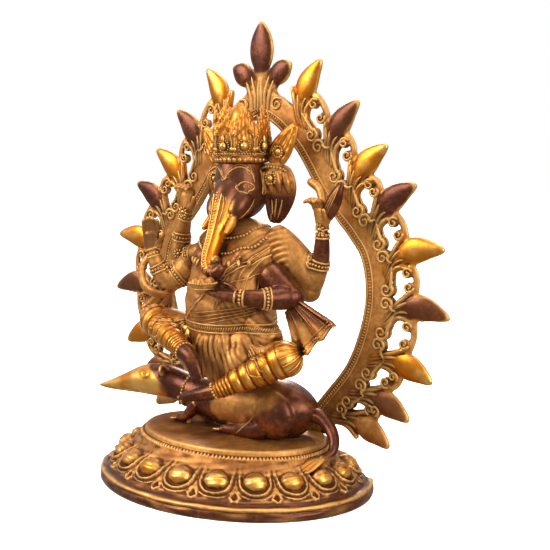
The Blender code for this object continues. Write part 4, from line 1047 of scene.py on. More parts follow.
class STATUE_OT_head(bpy.types.Operator):
    """Model the elephant head with trunk, tusks, eyes and diadem, and the two ears"""

    bl_idname = "statue.head"
    bl_label = "Head and ears"

    def execute(self, context):
        at = head_spot
        shapes = [
            ball(HEAD_CENTRE, (17.8, 17.4, 19.2), segments=40, rings=26),
            limb([at(0, 0, 0, 17.4), at(0, 0, 10, 16.6), at(0, 0, 19, 14.6)], 40, 30, (1, 0, 0), dome=16)
        ]
        trunk = [
            at(0, -4, 5, 12.2), at(0, -13, -3, 10.4), at(0, -19.5, -16, 7.6), at(0, -26, -30, 5.9),
            at(0.8, -32, -41, 5.2), at(4.5, -36.5, -49, 4.8), at(11, -37.6, -50.4, 4.4),
            at(15.6, -36.6, -45.5, 4.0)
        ]
        shapes.append(limb(trunk, 30, 90, (1, 0.02, 0.03)))
        for side in (-1, 1):
            shapes.append(limb([
                at(side * 8.2, -8, -5, 8.6), at(side * 8.8, -13.5, -11, 7.4), at(side * 7.5, -18, -17, 5.0)
            ], 22, 30, (1, 0, 0)))
            length = 1.0 if side > 0 else 0.6
            shapes.append(limb([
                at(side * 8, -16, -15, 3.4), at(side * 10.5, -18 - 6 * length, -20 - 3 * length, 2.7),
                at(side * 11.5, -18 - 12 * length, -22 - 5 * length, 1.3)
            ], 14, 24, (1, 0, 0.1)))
        shapes.append(ball(at(8.5, -35.5, -43), 3.3))
        piece = melted("head_casting", shapes, grain_of(0.7), 4)
        skin = Skin(piece)
        chased = self.face(skin) + self.diadem(skin) + self.trunk(skin, trunk)
        piece = dressed(paint(piece, self.finish), chased)
        set_on_frame(piece, "statue", "maroon_patina", "head")
        for side, name in ((-1, "right"), (1, "left")):
            self.ear(side, name)
        return {"FINISHED"}

    def lens(self, middle, along_way, wide, high, point=0.35):
        """An almond outline round a middle, its length along a way."""
        outline = []
        for k in range(36):
            a = 2 * math.pi * k / 36
            rise = high * math.sin(a) * abs(math.sin(a)) ** point
            outline.append(middle + along_way * (wide * math.cos(a)) + vec(0, 0, rise))
        return outline

    def face(self, skin):
        at = head_spot
        chased = []
        for side in (-1, 1):
            middle = np.array(at(side * 14.8, -12.5, 2.2))
            way = vec(side * 0.63, 0.77, -0.05)
            chased.append(tinted(
                raised(skin, self.lens(middle, way, 6.2, 3.0), 0.5, closed=True, lift=0.2), gold=0.15
            ))
            place, out = skin.near(middle, 0.1)
            chased.append(tinted(
                raised(
                    skin,
                    [
                        place + 1.5 * (way * math.cos(a) + vec(0, 0, math.sin(a)))
                        for a in np.linspace(0, 2 * math.pi, 16, endpoint=False)
                    ],
                    0.35, closed=True
                ),
                gold=0.15
            ))
            chased.append(stud((12, 8), place, out, (0, 0, 1), (0.7, 0.7, 0.6), gold=0.3))
            drop = np.array(at(side * 12.5, -8, 12.3))
            chased.append(tinted(
                raised(skin, self.lens(drop, vec(side * 0.5, 0.6, 0), 1.7, 2.9, 0.1), 0.4, closed=True),
                gold=0.15
            ))
            place, out = skin.near(drop - vec(0, 0, 0.8), 0.2)
            chased.append(stud((10, 7), place, out, (0, 0, 1), (0.9, 0.9, 0.7), gold=0.4))
            ladder = [at(side * 18, 1, 13), at(side * 19, 2, 5), at(side * 19, 1, -3)]
            path = drawn(ladder, 18)
            for shift in (-1.7, 1.7):
                chased.append(raised(skin, path + vec(side * 0.3, shift, 0), 0.45))
            chased.append(hatched(skin, path, 2.8, 0.7, 1.5))
            jaw = [at(side * 17, -6, -6), at(side * 15, -12, -12), at(side * 11, -17, -17)]
            chased.append(raised(skin, drawn(jaw, 16), 0.4, taper=True))
        return chased

    def diadem(self, skin):
        """The double-lined edge of the headband: a point between the eyes and an arch over each."""
        chased = []
        edge = ((0.0, 6.0), (0.16, 10.5), (0.34, 13.5), (0.62, 15.2), (0.9, 13.8), (1.12, 10.0), (1.2, 5.0))
        for side in (-1, 1):
            for inset, girth in ((0.0, 0.5), (1.9, 0.35)):
                line = drawn(np.array(edge), 40)
                spots = [head_spot(side * 19 * math.sin(w), -19 * math.cos(w), z + inset) for w, z in line]
                chased.append(tinted(raised(skin, spots, girth, lift=0.2), gold=0.1))
        return chased

    def trunk(self, skin, rows):
        rows = np.array(rows)
        chased = []
        for side in (-1, 0, 1):
            path = rows[1:6, :3] + vec(side * 4.6, -14, 3) * (rows[1:6, 3:4] / 9)
            smooth = drawn(path, 40)
            chased.append(tinted(
                beads(skin, smooth, 0.7, 1.9) if side == 0 else raised(skin, smooth, 0.45), gold=0.8
            ))
        for k in range(7):
            t = 0.46 + k * 0.062
            spot, ahead = along(rows, np.array([t, t + 0.01]))
            axis = ahead[:3] - spot[:3]
            chased.append(tinted(
                raised(skin, hoop(spot[:3], axis, spot[3])[2:20], 0.35, taper=True), gold=0.3, dark=0.2
            ))
        for k in range(6):
            a = -1.1 + 2.2 * k / 5
            leaf = [
                head_spot(6 * math.sin(a), -22, -5 + 2 * math.cos(a)),
                head_spot(9.5 * math.sin(a), -25, -11 + math.cos(a)),
                head_spot(6 * math.sin(a), -27, -19 - 2 * math.cos(a))
            ]
            chased.append(tinted(raised(skin, drawn(leaf, 12), 0.5, taper=True), gold=0.3))
        return chased

    def finish(self, points, normals):
        x, y, z = (points - HEAD_CENTRE).T
        front = ramp(-14 - y, 0, 9)
        down = front * ramp(-1 - z, 0, 13) * ramp(12 - np.abs(x), 0, 5)
        tusk = ramp(np.abs(x), 8.0, 9.5) * ramp(-15 - z, 0, 3) * ramp(-18 - y, 0, 4) * ramp(z, -32, -28)
        tip = ramp(-45 - z, 0, 4) * ramp(x, 3, 9)
        gold = np.maximum(down, tusk) * (1 - tip)
        lines = np.abs(np.sin(x * 1.6)) ** 6 * down + 0.5 * np.abs(np.sin(z * 0.85)) ** 8 * down
        return (
            gold * 0.95, np.maximum(1 - gold, tip) * (0.75 - 0.3 * ramp(y, 4, 14)),
            0.14 * gold + 0.12 * lines
        )

    def ear(self, side, name):
        def shape(u, v):
            t = (1 - v) / 2
            span = (
                22 * (0.45 + 0.55 * np.sin(np.pi * np.minimum(1, 0.25 + 0.75 * t)) ** 0.7)
                * (1 - 0.55 * t**3)
            )
            x = 9.9 + span / 2 + 7 * t + u * span / 2
            back = (
                4 + 5 * t + 2.4 * u - 1.4 * np.cos(np.pi * u) * (1 - t)
                + 0.5 * np.cos(u * 10) * ramp(t, 0.45, 1)
            )
            z = 17 - 37 * t - 2.0 * u**2 * (1 - t) + 1.2 * np.cos(u * 9) * t**4
            return np.stack([
                HEAD_CENTRE[0] + side * (x + 2.2), HEAD_CENTRE[1] + back, HEAD_CENTRE[2] + z
            ], axis=1)

        def spot(u, v, ahead=3.0):
            return spot_on(shape, u, v) - vec(0, ahead, 0)

        flap = plate(44, 60, shape, 2.6)
        rims = [
            limb([(*spot(u * 0.97, v, 0), 1.5) for v in np.linspace(0.96, -0.96, 18)], 12, 60, (0.1, 1, 0))
            for u in (-1, 1)
        ]
        rims.append(limb([
            (*spot(u, -0.97, 0), 1.5) for u in np.linspace(-0.95, 0.95, 8)
        ], 12, 30, (0.1, 1, 0)))
        tuft = [
            limb([
                (*spot(u, 0.75, 1.0), 2.2), (*spot(u * 1.1, 0.35, 2.2), 2.4), (*spot(u * 1.2, 0.0, 1.6), 1.4)
            ], 10, 24, (1, 0, 0))
            for u in (-0.7, -0.25, 0.2, 0.65)
        ]
        piece = melted(f"ear_{name}_casting", [flap, *rims, *tuft], grain_of(0.65), 1)
        skin = Skin(piece)
        chased = []
        for u in (-0.45, 0.0, 0.45):
            chased.append(raised(skin, [spot(u, v) for v in np.linspace(-0.25, -0.92, 14)], 0.6, taper=True))
        place, out = skin.near(spot(0.0, 0.48, 5), 0.2)
        ring = [
            place + 3.6 * vec(math.cos(a), 0, math.sin(a))
            for a in np.linspace(0, 2 * math.pi, 14, endpoint=False)
        ]
        chased.append(beads(skin, ring, 0.85, closed=True))
        chased.append(stud((14, 9), place, out, (1, 0, 0), (1.9, 1.9, 1.4), gold=0.6))
        chased.append(beads(skin, [spot(u, 0.86) for u in np.linspace(-0.9, 0.9, 14)], 0.9))
        tone = lambda p, n: (
            0.10 * ramp(p[:, 2], 186, 200), 0.85 * ramp(193 - p[:, 2], 0, 10), np.full(len(p), 0.1)
        )
        piece = dressed(paint(piece, tone), chased)
        set_on_frame(piece, "statue", "antique_brass", f"ear_{name}")


CROWN_CENTRE = vec(2.2, 27.4, 206.6)


def crown_spot(turn, reach, rise):
    """A place round the crown's axis."""
    return CROWN_CENTRE + vec(reach * math.sin(turn), -reach * math.cos(turn), rise)


class STATUE_OT_crown(bpy.types.Operator):
    """Model the crown with its band, jewelled, fluted leaves and cap, and the two fans behind the ears"""

    bl_idname = "statue.crown"
    bl_label = "Crown"

    def execute(self, context):
        profile = (
            (0.0, 15.4), (0.8, 16.2), (2.5, 16.6), (4.5, 16.2), (7, 15.6), (10, 15.4), (18, 12), (28, 8),
            (33, 6), (37, 3.2)
        )
        shapes = [limb([(*(CROWN_CENTRE + (0, 0, z)), r) for z, r in profile], 48, 60, (1, 0, 0), dome=24)]
        count = context.scene.statue_sizes.crown_leaves
        turns = [math.radians(-135 + 270 * k / (count - 1)) for k in range(count)]
        for turn in turns:
            shapes += self.leaf(turn)
        for turn in [math.radians(-112 + 225 * k / (count - 2)) for k in range(count - 1)]:
            shapes.append(limb([
                (*crown_spot(turn, 16.0, 4), 2.0), (*crown_spot(turn, 16.8, 12), 2.3),
                (*crown_spot(turn, 16.6, 21), 1.6), (*crown_spot(turn, 16.0, 27), 0.8)
            ], 12, 30, (math.cos(turn), math.sin(turn), 0)))
        shapes.append(ball(CROWN_CENTRE + (0, 0, 36), (3.2, 3.2, 2.8)))
        piece = melted("crown_casting", shapes, grain_of(0.65), 1)
        skin = Skin(piece)
        chased = self.band(skin)
        for turn in turns:
            chased += self.jewel(skin, turn)
        piece = dressed(tinted(piece, gold=0.5, dark=0.22), chased)
        set_on_frame(piece, "statue", "polished_brass", "crown")
        for side, name in ((-1, "right"), (1, "left")):
            self.fan(side, name)
        return {"FINISHED"}

    def leaf(self, turn):
        """A pointed panel with five upright flutes that end in separate tips."""
        height = 32 * (1 - 0.18 * abs(turn) / math.pi)
        outward = vec(math.sin(turn), -math.cos(turn), 0)
        aside = vec(math.cos(turn), math.sin(turn), 0)

        def shape(u, v):
            t = (v + 1) / 2
            wide = np.where(t < 0.45, 6.4 + 3.0 * t, 7.8 * np.maximum(0.1, (1 - t) / 0.55) ** 0.5)
            lean = 14.8 + 2.0 * np.sin(np.pi * t) - 1.6 * u**2 * (t < 0.8)
            rise = 1.5 + (height - 1.5) * t - 1.5 * np.abs(u) * t
            return (
                CROWN_CENTRE + outward * lean[:, None] + aside * (u * wide)[:, None]
                + np.stack([0 * t, 0 * t, rise], axis=1)
            )

        shapes = [plate(22, 34, shape, 2.0)]
        for u, top in ((-1.0, 0.72), (-0.6, 0.96), (-0.2, 1.08), (0.2, 1.14), (0.6, 0.98), (1.0, 0.78)):
            rows = []
            for k in range(9):
                t = k / 8
                girth = (1.10 + 0.25 * math.cos(k * math.pi)) * (1 - 0.3 * t)
                spread = u * (6.4 - 1.2 * t)
                lean = 15.2 + 2.3 * math.sin(math.pi * t * 0.9)
                rise = 10 + (height * top + 1.5 * math.sin(turn * 9 + u * 5) - 7) * t
                rows.append((*(CROWN_CENTRE + outward * lean + aside * spread + vec(0, 0, rise)), girth))
            shapes.append(limb(rows, 9, 40, aside, dome=12))
        return shapes

    def band(self, skin):
        chased = []
        ring = lambda rise: [
            crown_spot(a, 20, rise) for a in np.linspace(-math.pi, math.pi, 60, endpoint=False)
        ]
        chased.append(beads(skin, ring(5.4), 0.8, closed=True))
        chased.append(raised(skin, ring(4.0), 0.45, closed=True))
        for k in range(30):
            turn = 2 * math.pi * k / 30
            place, out = skin.near(crown_spot(turn, 20, 1.9), 0.1)
            chased.append(stud((9, 6), place, out, (0, 0, 1), (1.5, 1.2, 0.8), gold=0.5, dark=0.12))
        return chased

    def jewel(self, skin, turn):
        chased = []
        flat = (math.sin(turn), -math.cos(turn), 0.0)
        place, _ = skin.near(crown_spot(turn, 24, 10.0), 0.8)
        chased.append(stud((16, 10), place, flat, (0, 0, 1), (2.7, 2.5, 2.2), gold=1.0))
        chased.append(stud((12, 10), place + vec(0, 0, 4.2), flat, (0, 0, 1), (2.8, 1.3, 1.3), gold=1.0))
        chased.append(beads(skin, hoop(place, flat, 4.0, 16), 0.75, closed=True))
        for side in (-1, 1):
            place, out = skin.near(crown_spot(turn + side * 0.26, 24, 8.0), 0.2)
            chased.append(stud((9, 6), place, out, (0, 0, 1), (1.4, 1.4, 1.1), gold=0.6))
            curl = [
                crown_spot(turn + side * w, 24, z)
                for w, z in ((0.10, 6.0), (0.28, 10.5), (0.24, 15.5), (0.06, 18.5))
            ]
            chased.append(raised(skin, drawn(curl, 16), 0.5, taper=True))
        return chased

    def fan(self, side, name):
        foot = CROWN_CENTRE + vec(side * 20.6, 6, -0.5)
        tip = foot + vec(side * 17, 2, 24.0)
        way = unit(tip - foot)
        aside = unit(np.cross(way, (0, 1, 0)))

        def shape(u, v):
            t = (v + 1) / 2
            wide = 7.8 * np.maximum(0.05, np.sin(np.pi * (0.15 + 0.8 * t) ** 0.8)) ** 0.8
            spread = foot + np.outer(t, tip - foot) + aside * (u * wide)[:, None]
            lift = 0.8 * np.cos(u * 11) * ramp(t, 0.05, 0.3)
            return spread + np.stack([0 * u, lift - 0.8 * (1 - u * u), 0 * u], axis=1)

        ribs = []
        for u in (-0.75, -0.38, 0.0, 0.38, 0.75):
            top = 0.95 - 0.35 * abs(u)
            path = [spot_on(shape, u, v) - vec(0, 0.8, 0) for v in np.linspace(-0.7, top, 8)]
            ribs.append(limb([(*p, 1.1 + 0.3 * (k % 2)) for k, p in enumerate(path)], 9, 30, (1, 0, 0.1)))
        piece = melted(f"crown_fan_{name}_casting", [plate(30, 40, shape, 2.2), *ribs], grain_of(0.6), 1)
        skin = Skin(piece)
        place, _ = skin.near(foot + (tip - foot) * 0.33 + vec(0, -4, 0), 0.3)
        chased = [stud((14, 9), place, (0, -1, 0), (0, 0, 1), (2.2, 2.2, 1.5), gold=0.9)]
        chased.append(beads(skin, hoop(place, (0, 1, 0), 3.5, 16), 0.75, closed=True))
        piece = dressed(tinted(piece, gold=0.5, dark=0.22), chased)
        set_on_frame(piece, "statue", "polished_brass", f"crown_fan_{name}")


def hand(wrist, fingers, palm, size, curl):
    """Palm, four fingers and a thumb from the wrist, as shapes to melt."""
    wrist, fingers, palm = np.array(wrist, float), unit(fingers), unit(palm)
    across = np.cross(fingers, palm)
    spot = lambda f, p, a: wrist + (fingers * f + palm * p + across * a) * size
    shapes = [limb([
        (*spot(-0.15, 0, 0), 4.3, 3.8), (*spot(0.3, 0, 0), 5.3, 3.5), (*spot(0.75, 0.02, 0), 5.9, 2.9),
        (*spot(0.98, 0.05, 0), 5.4, 2.4)
    ], 18, 26, across)]
    for k in range(4):
        a = (k - 1.5) * 0.235
        long = 1.0 - 0.10 * abs(k - 1.4)
        rows = [(*spot(0.85, 0.04, a), 1.75), (*spot(0.85 + 0.38 * long, 0.06 + 0.10 * curl, a), 1.65),
                (*spot(0.85 + 0.74 * long * (1 - 0.35 * curl), 0.06 + 0.48 * curl, a), 1.5),
                (*spot(0.85 + 0.98 * long * (1 - 0.75 * curl), 0.06 + 0.86 * curl, a), 1.2)]
        shapes.append(limb(rows, 10, 26, across))
    thumb = [(*spot(0.15, 0.1, 0.3), 2.4), (*spot(0.5, 0.25, 0.56), 2.0), (*spot(0.92, 0.32, 0.62), 1.5)]
    shapes.append(limb(thumb, 10, 22, fingers))
    return shapes


ARMS = {
    "rear_left": dict(
        rows=((32, 35, 148, 9.2), (51, 35, 127, 7.1), (60, 34, 147, 5.6), (63, 32, 167, 4.2)),
        fingers=(-0.1, -0.1, 1), palm=(-0.3, -1, 0), curl=0.75
    ),
    "rear_right": dict(
        rows=((-32, 35, 148, 9.2), (-58, 32, 139, 7.1), (-54, 31, 160, 5.6), (-47, 28, 175, 4.2)),
        fingers=(0.15, 0, 1), palm=(0.1, -1, 0), curl=0.85
    ),
    "front_left": dict(
        rows=((32, 16, 140, 9.4), (53, 15, 125, 7.4), (43, -2, 125, 6.0), (29, -11, 126, 4.5)),
        fingers=(-1, -0.25, 0.15), palm=(0.1, -0.2, 1), curl=0.3
    ),
    "front_right": dict(
        rows=((-32, 16, 140, 9.2), (-45, 8, 128, 7.2), (-50, 3, 140, 5.8), (-53, 1, 150, 4.3)),
        fingers=(0, -0.05, 1), palm=(0.5, -1, 0), curl=0.12
    )
}


class STATUE_OT_arms(bpy.types.Operator):
    """Model the four arms with their hands, armlets and bracelets"""

    bl_idname = "statue.arms"
    bl_label = "Arms"

    def execute(self, context):
        for name, arm in ARMS.items():
            self.arm(name, **arm)
        return {"FINISHED"}

    def arm(self, name, rows, fingers, palm, curl):
        rows = np.array(rows, float)
        shoulder, elbow, mid, wrist = rows
        between = (elbow + mid) / 2 + vec(0, 0, 0, 0.6)
        upper = [
            shoulder, (shoulder * 2 + elbow) / 3 + vec(0, 0, 0, 0.4),
            (shoulder + elbow * 2) / 3 + vec(0, 0, 0, 0.2), elbow
        ]
        shapes = [
            limb(upper, 22, 40, (0.1, 0.3, 1)), limb([elbow, between, mid, wrist], 22, 40, (0.2, 1, 0.2)),
            ball(elbow[:3], elbow[3] * 1.02)
        ]
        shapes += hand(wrist[:3], fingers, palm, 13, curl)
        if name == "front_right":
            loop = [
                (-62, 9, 147, 1.8, 2.6), (-66, 4, 137, 2.0, 3.2), (-58, -2, 127, 2.2, 3.6),
                (-47, -3, 122, 2.0, 3.2), (-40, 4, 121, 1.6, 2.4)
            ]
            shapes.append(limb(loop, 14, 50, (0, 1, 0.2)))
        if name == "rear_left":
            sleeve = [
                (22, 29, 161, 12.5, 9), (34, 30, 151, 14, 9), (46, 32, 139, 13.5, 8.5), (53, 34, 129, 8, 7)
            ]
            shapes.append(limb(sleeve, 24, 40, (0.65, 0, 0.75)))
        piece = melted(f"arm_{name}_casting", shapes, grain_of(0.7), 2)
        if name == "rear_left":
            points = points_of(piece)
            move_to(piece, points + normals_of(piece) * (0.25 * self.ripple(points))[:, None])
        skin = Skin(piece)
        chased = []
        for t, reach, radius in ((0.88, 6, 1.0), (0.45, 9, 0.95)):
            line = np.array([elbow, mid, wrist])
            spot, ahead = along(line, np.array([t, t + 0.02]))
            chased += bangle(skin, spot[:3], ahead[:3] - spot[:3], reach * 0.9, radius, 2.3)
        axis = elbow[:3] - shoulder[:3]
        if name.endswith("right"):
            chased += bangle(skin, shoulder[:3] + axis * 0.55, axis, 9)
            disc = shoulder[:3] + axis * 0.55 + vec(-7, -7, 3)
            chased += self.rosette(skin, disc, 3.2)
        if name == "front_left":
            chased = [tinted(ring, maroon=0.55, dark=0.1) for ring in chased]
        if name.startswith("rear"):
            front = wrist[:3] + vec(0, -7, -1.5)
            chased += self.rosette(skin, front, 3.6)
        paint(piece, lambda p, n: self.finish(name, p, rows))
        set_on_frame(dressed(piece, chased), "statue", "antique_brass", f"arm_{name}")

    def ripple(self, points):
        """Folds of the sleeve, in rings round the elbow, from -1 in a valley to 1 on a ridge."""
        x, y, z = points.T
        away = np.hypot(x - 45, z - 128)
        return np.cos(away * math.pi / 1.9) * ramp(away, 9, 13) * ramp(48 - x, 0, 12) * ramp(32 - y, 0, 5)

    def rosette(self, skin, spot, size):
        place, out = skin.near(spot, 0.2)
        shapes = [stud(
            (12, 8), place, out, (0.1, 0.2, 1), (size * 0.42, size * 0.42, size * 0.35), gold=0.8
        )]
        frames = []
        for point in hoop(place, out, size * 0.78, 9):
            frames.append(frame_at(point, out, point - place, (size * 0.36, size * 0.2, size * 0.26)))
        shapes.append(tinted(copies(new_ball(8, 6), frames), gold=0.5))
        return shapes

    def finish(self, name, points, rows):
        zero = np.zeros(len(points))
        fore = near_line(points, rows[1:, :3])
        upper = near_line(points, rows[:2, :3])
        on_fore = ramp(upper - fore, -2, 2)
        beyond = ramp((points - rows[3, :3]) @ unit(rows[3, :3] - rows[2, :3]), 0, 3)
        sleeve_end = (
            0.85 * on_fore * (1 - beyond) * ramp(points[:, 2], 134, 144) * ramp(points[:, 0], 52, 56)
        )
        shares = {
            "front_left": 0.9 - 0.1 * on_fore, "rear_left": sleeve_end,
            "front_right": 0.6 * beyond, "rear_right": 0.15 * on_fore,
        }
        maroon = shares[name] + zero
        folds = 0.3 * np.maximum(0, -self.ripple(points)) if name == "rear_left" else zero
        return 0.12 + zero, maroon, 0.08 + folds


LEGS = {
    "left": dict(hip=(15.3, 18, 88, 15.6), knee=(53.5, 6, 88, 11.0), ankle=(18, -15, 68, 5.6),
                 foot=((21, -15, 68.5, 5.8, 5.2), (8, -17, 65, 5.6, 4.6), (-3, -18, 62, 5.0, 3.4),
                       (-9, -18.4, 60.6, 4.2, 2.4)),
                 ahead=(-1, -0.1, -0.3), spread=(0, -1, 0.1)),
    "right": dict(hip=(-15.3, 18, 90, 15.6), knee=(-56.5, 7, 102, 10.8), ankle=(-14, -12, 89, 5.8),
                  foot=((-17, -12, 90, 5.8, 5.2), (-6, -14.6, 86.5, 5.6, 4.8), (0, -16, 79, 5.2, 3.6),
                        (2.5, -16.4, 72.5, 4.4, 2.6)),
                  ahead=(0.25, -0.05, -1), spread=(1, 0, 0.2)),
}


class STATUE_OT_legs(bpy.types.Operator):
    """Model the two folded legs with banded shins, anklets and feet"""

    bl_idname = "statue.legs"
    bl_label = "Legs"

    def execute(self, context):
        for name, leg in LEGS.items():
            self.leg(name, **leg)
        return {"FINISHED"}

    def girth(self, knee, ankle, t):
        return knee[3] + (ankle[3] - knee[3]) * max(t, 0) ** 0.8

    def grooves(self):
        """Shares down the shin: grooves between the puffed bands, then thin rings at the ankle."""
        bands = bpy.context.scene.statue_sizes.shin_bands
        return [0.04 + 0.74 * k / bands for k in range(bands + 1)] + [0.84, 0.89, 0.94, 0.99]

    def leg(self, name, hip, knee, ankle, foot, ahead, spread):
        hip, knee, ankle = (np.array(p, float) for p in (hip, knee, ankle))
        cuts = self.grooves()
        shin = []
        for k in range(181):
            t = k / 180 * 1.02
            gap = min(abs(t - c) for c in cuts) * np.linalg.norm(ankle[:3] - knee[:3])
            shin.append((
                *(knee + (ankle - knee) * t)[:3],
                self.girth(knee, ankle, t) + 0.6 - 1.5 * math.exp(-((gap / 0.75) ** 2))
            ))
        shapes = [limb(shin, 36, 240, (0.1, 1, 0.2), dome=60), ball(knee[:3], knee[3] * 1.03)]
        shapes.append(limb([hip, (hip * 2 + knee) / 3, (hip + knee * 2) / 3, knee], 28, 40, (0.1, 1, 0.2)))
        shapes.append(limb(foot, 20, 40, spread))
        toe_root = np.array(foot[-1][:3], float)
        ahead, spread = unit(ahead), unit(spread)
        for k in range(5):
            side = (k - 2) * 1.75
            size = 1.25 if k else 1.7
            start = toe_root + spread * side - ahead * 3
            shapes.append(limb([
                (*start, size), (*(start + ahead * (5.6 - 0.5 * k)), size * 0.8)
            ], 10, 16, spread))
        piece = melted(f"leg_{name}_casting", shapes, grain_of(0.7), 1)
        skin = Skin(piece)
        chased = []
        axis = ankle[:3] - knee[:3]
        for t in cuts[1:-4]:
            ring = hoop(knee[:3] + axis * (t - 0.035), axis, self.girth(knee, ankle, t) + 2, 40)
            chased.append(tinted(
                hatched(skin, ring, 1.5, 0.45, 1.35, closed=True, lift=-0.05), gold=0.3, dark=0.5
            ))
        apex = knee[:3] - unit(axis) * knee[3] * 1.2
        for point in hoop(knee[:3] + axis * 0.03, axis, knee[3] + 2, 14):
            rib = [
                apex * (1 - t) + point * t + (point - knee[:3]) * 0.5 * math.sin(math.pi * t)
                for t in np.linspace(0.12, 1, 12)
            ]
            chased.append(tinted(raised(skin, rib, 0.45, taper=True), gold=0.5))
        thigh = knee[:3] - hip[:3]
        for k, lean in enumerate((-9, -4, 1, 6, 11)):
            start, end = hip[:3] + thigh * 0.12, hip[:3] + thigh * 0.86
            fold = [
                start + vec(0, -14 + abs(lean), 16 + lean * 0.4),
                (start + end) / 2 + vec(0, -16, 13 - k * 4), end + vec(0, -15, 9 - k * 5)
            ]
            chased.append(raised(skin, drawn(fold, 22), 0.6, taper=True))
        chased.append(tinted(
            beads(skin, hoop(knee[:3] + axis * 1.05, axis, ankle[3] + 1), 0.9, closed=True), gold=0.3
        ))
        paint(piece, lambda p, n: self.finish(p, hip, knee, ankle))
        set_on_frame(dressed(piece, chased), "statue", "polished_brass", f"leg_{name}")

    def finish(self, points, hip, knee, ankle):
        axis = ankle[:3] - knee[:3]
        t = (points - knee[:3]) @ axis / (axis @ axis)
        thigh = (
            near_line(points, [hip[:3], knee[:3] * 0.75 + hip[:3] * 0.25])
            - near_line(points, [knee[:3], ankle[:3]])
        )
        shin = ramp(thigh, -1, 3) * (1 - ramp(t, 0.99, 1.05))
        foot = ramp(t, 0.99, 1.06)
        gaps = np.min([np.abs(t - c) for c in self.grooves()], axis=0) * np.linalg.norm(axis)
        groove = np.exp(-((gaps / 0.7) ** 2)) * shin
        return shin * (1 - 0.7 * groove), foot * 0.98, 0.06 * (1 - shin) + 0.75 * groove


class STATUE_OT_scarf_ends(bpy.types.Operator):
    """Model the two flared, pleated scarf ends that hang from the front arms"""

    bl_idname = "statue.scarf_ends"
    bl_label = "Scarf ends"

    def execute(self, context):
        self.end("left", ((52.5, 13.6, 120.5, 6.5), (62, 13, 111, 12), (73.5, 12, 98.5, 20.5)), 0.25, 0.85)
        self.end("right", ((-51, 15, 123, 4.2), (-63, 23.5, 117, 9), (-78.5, 25, 103.5, 16.6)), 0.35, 0.4)
        return {"FINISHED"}

    def end(self, name, rows, gold, maroon):
        rows = np.array(rows, float)

        def shape(u, v):
            t = (v + 1) / 2
            spot = along(rows, t)
            way = unit(along(rows[:, :3], t + 0.03) - along(rows[:, :3], t - 0.03))
            across = unit(np.cross(way, (0.0, 1.0, 0.0)))
            fold = np.cos(u * 9) * (0.3 + 1.9 * t) - 1.2 * ramp(t, 0.85, 1)
            hem = np.cos(u * 9 + np.pi) * 1.6 * ramp(t, 0.7, 1)
            return (
                spot[:, :3] + across * (u * spot[:, 3])[:, None] + way * hem[:, None]
                + np.stack([0 * u, fold, 0 * u], axis=1)
            )

        piece = melted(f"sash_{name}_casting", [plate(60, 60, shape, 2.2)], grain_of(0.65), 2)
        skin = Skin(piece)
        chased = []
        for v, kind in ((0.93, "line"), (0.78, "beads"), (0.63, "line")):
            path = [spot_on(shape, u, v) + vec(0, -2, 0) for u in np.linspace(-0.93, 0.93, 40)]
            chased.append(beads(skin, path, 0.7, 1.8) if kind == "beads" else raised(skin, path, 0.45))
        for k in range(7):
            u = -0.9 + 0.3 * k
            path = [spot_on(shape, u, v) + vec(0, -2, 0) for v in np.linspace(-0.85, 0.55, 18)]
            chased.append(raised(skin, path, 0.4, taper=True))
        low = rows[-1, 2]
        tone = lambda p, n: (
            gold + 0.4 * ramp(low + 8 - p[:, 2], 0, 14), maroon * ramp(p[:, 2], low + 4, low + 18),
            np.zeros(len(p))
        )
        set_on_frame(dressed(paint(piece, tone), chased), "statue", "antique_brass", f"sash_{name}")


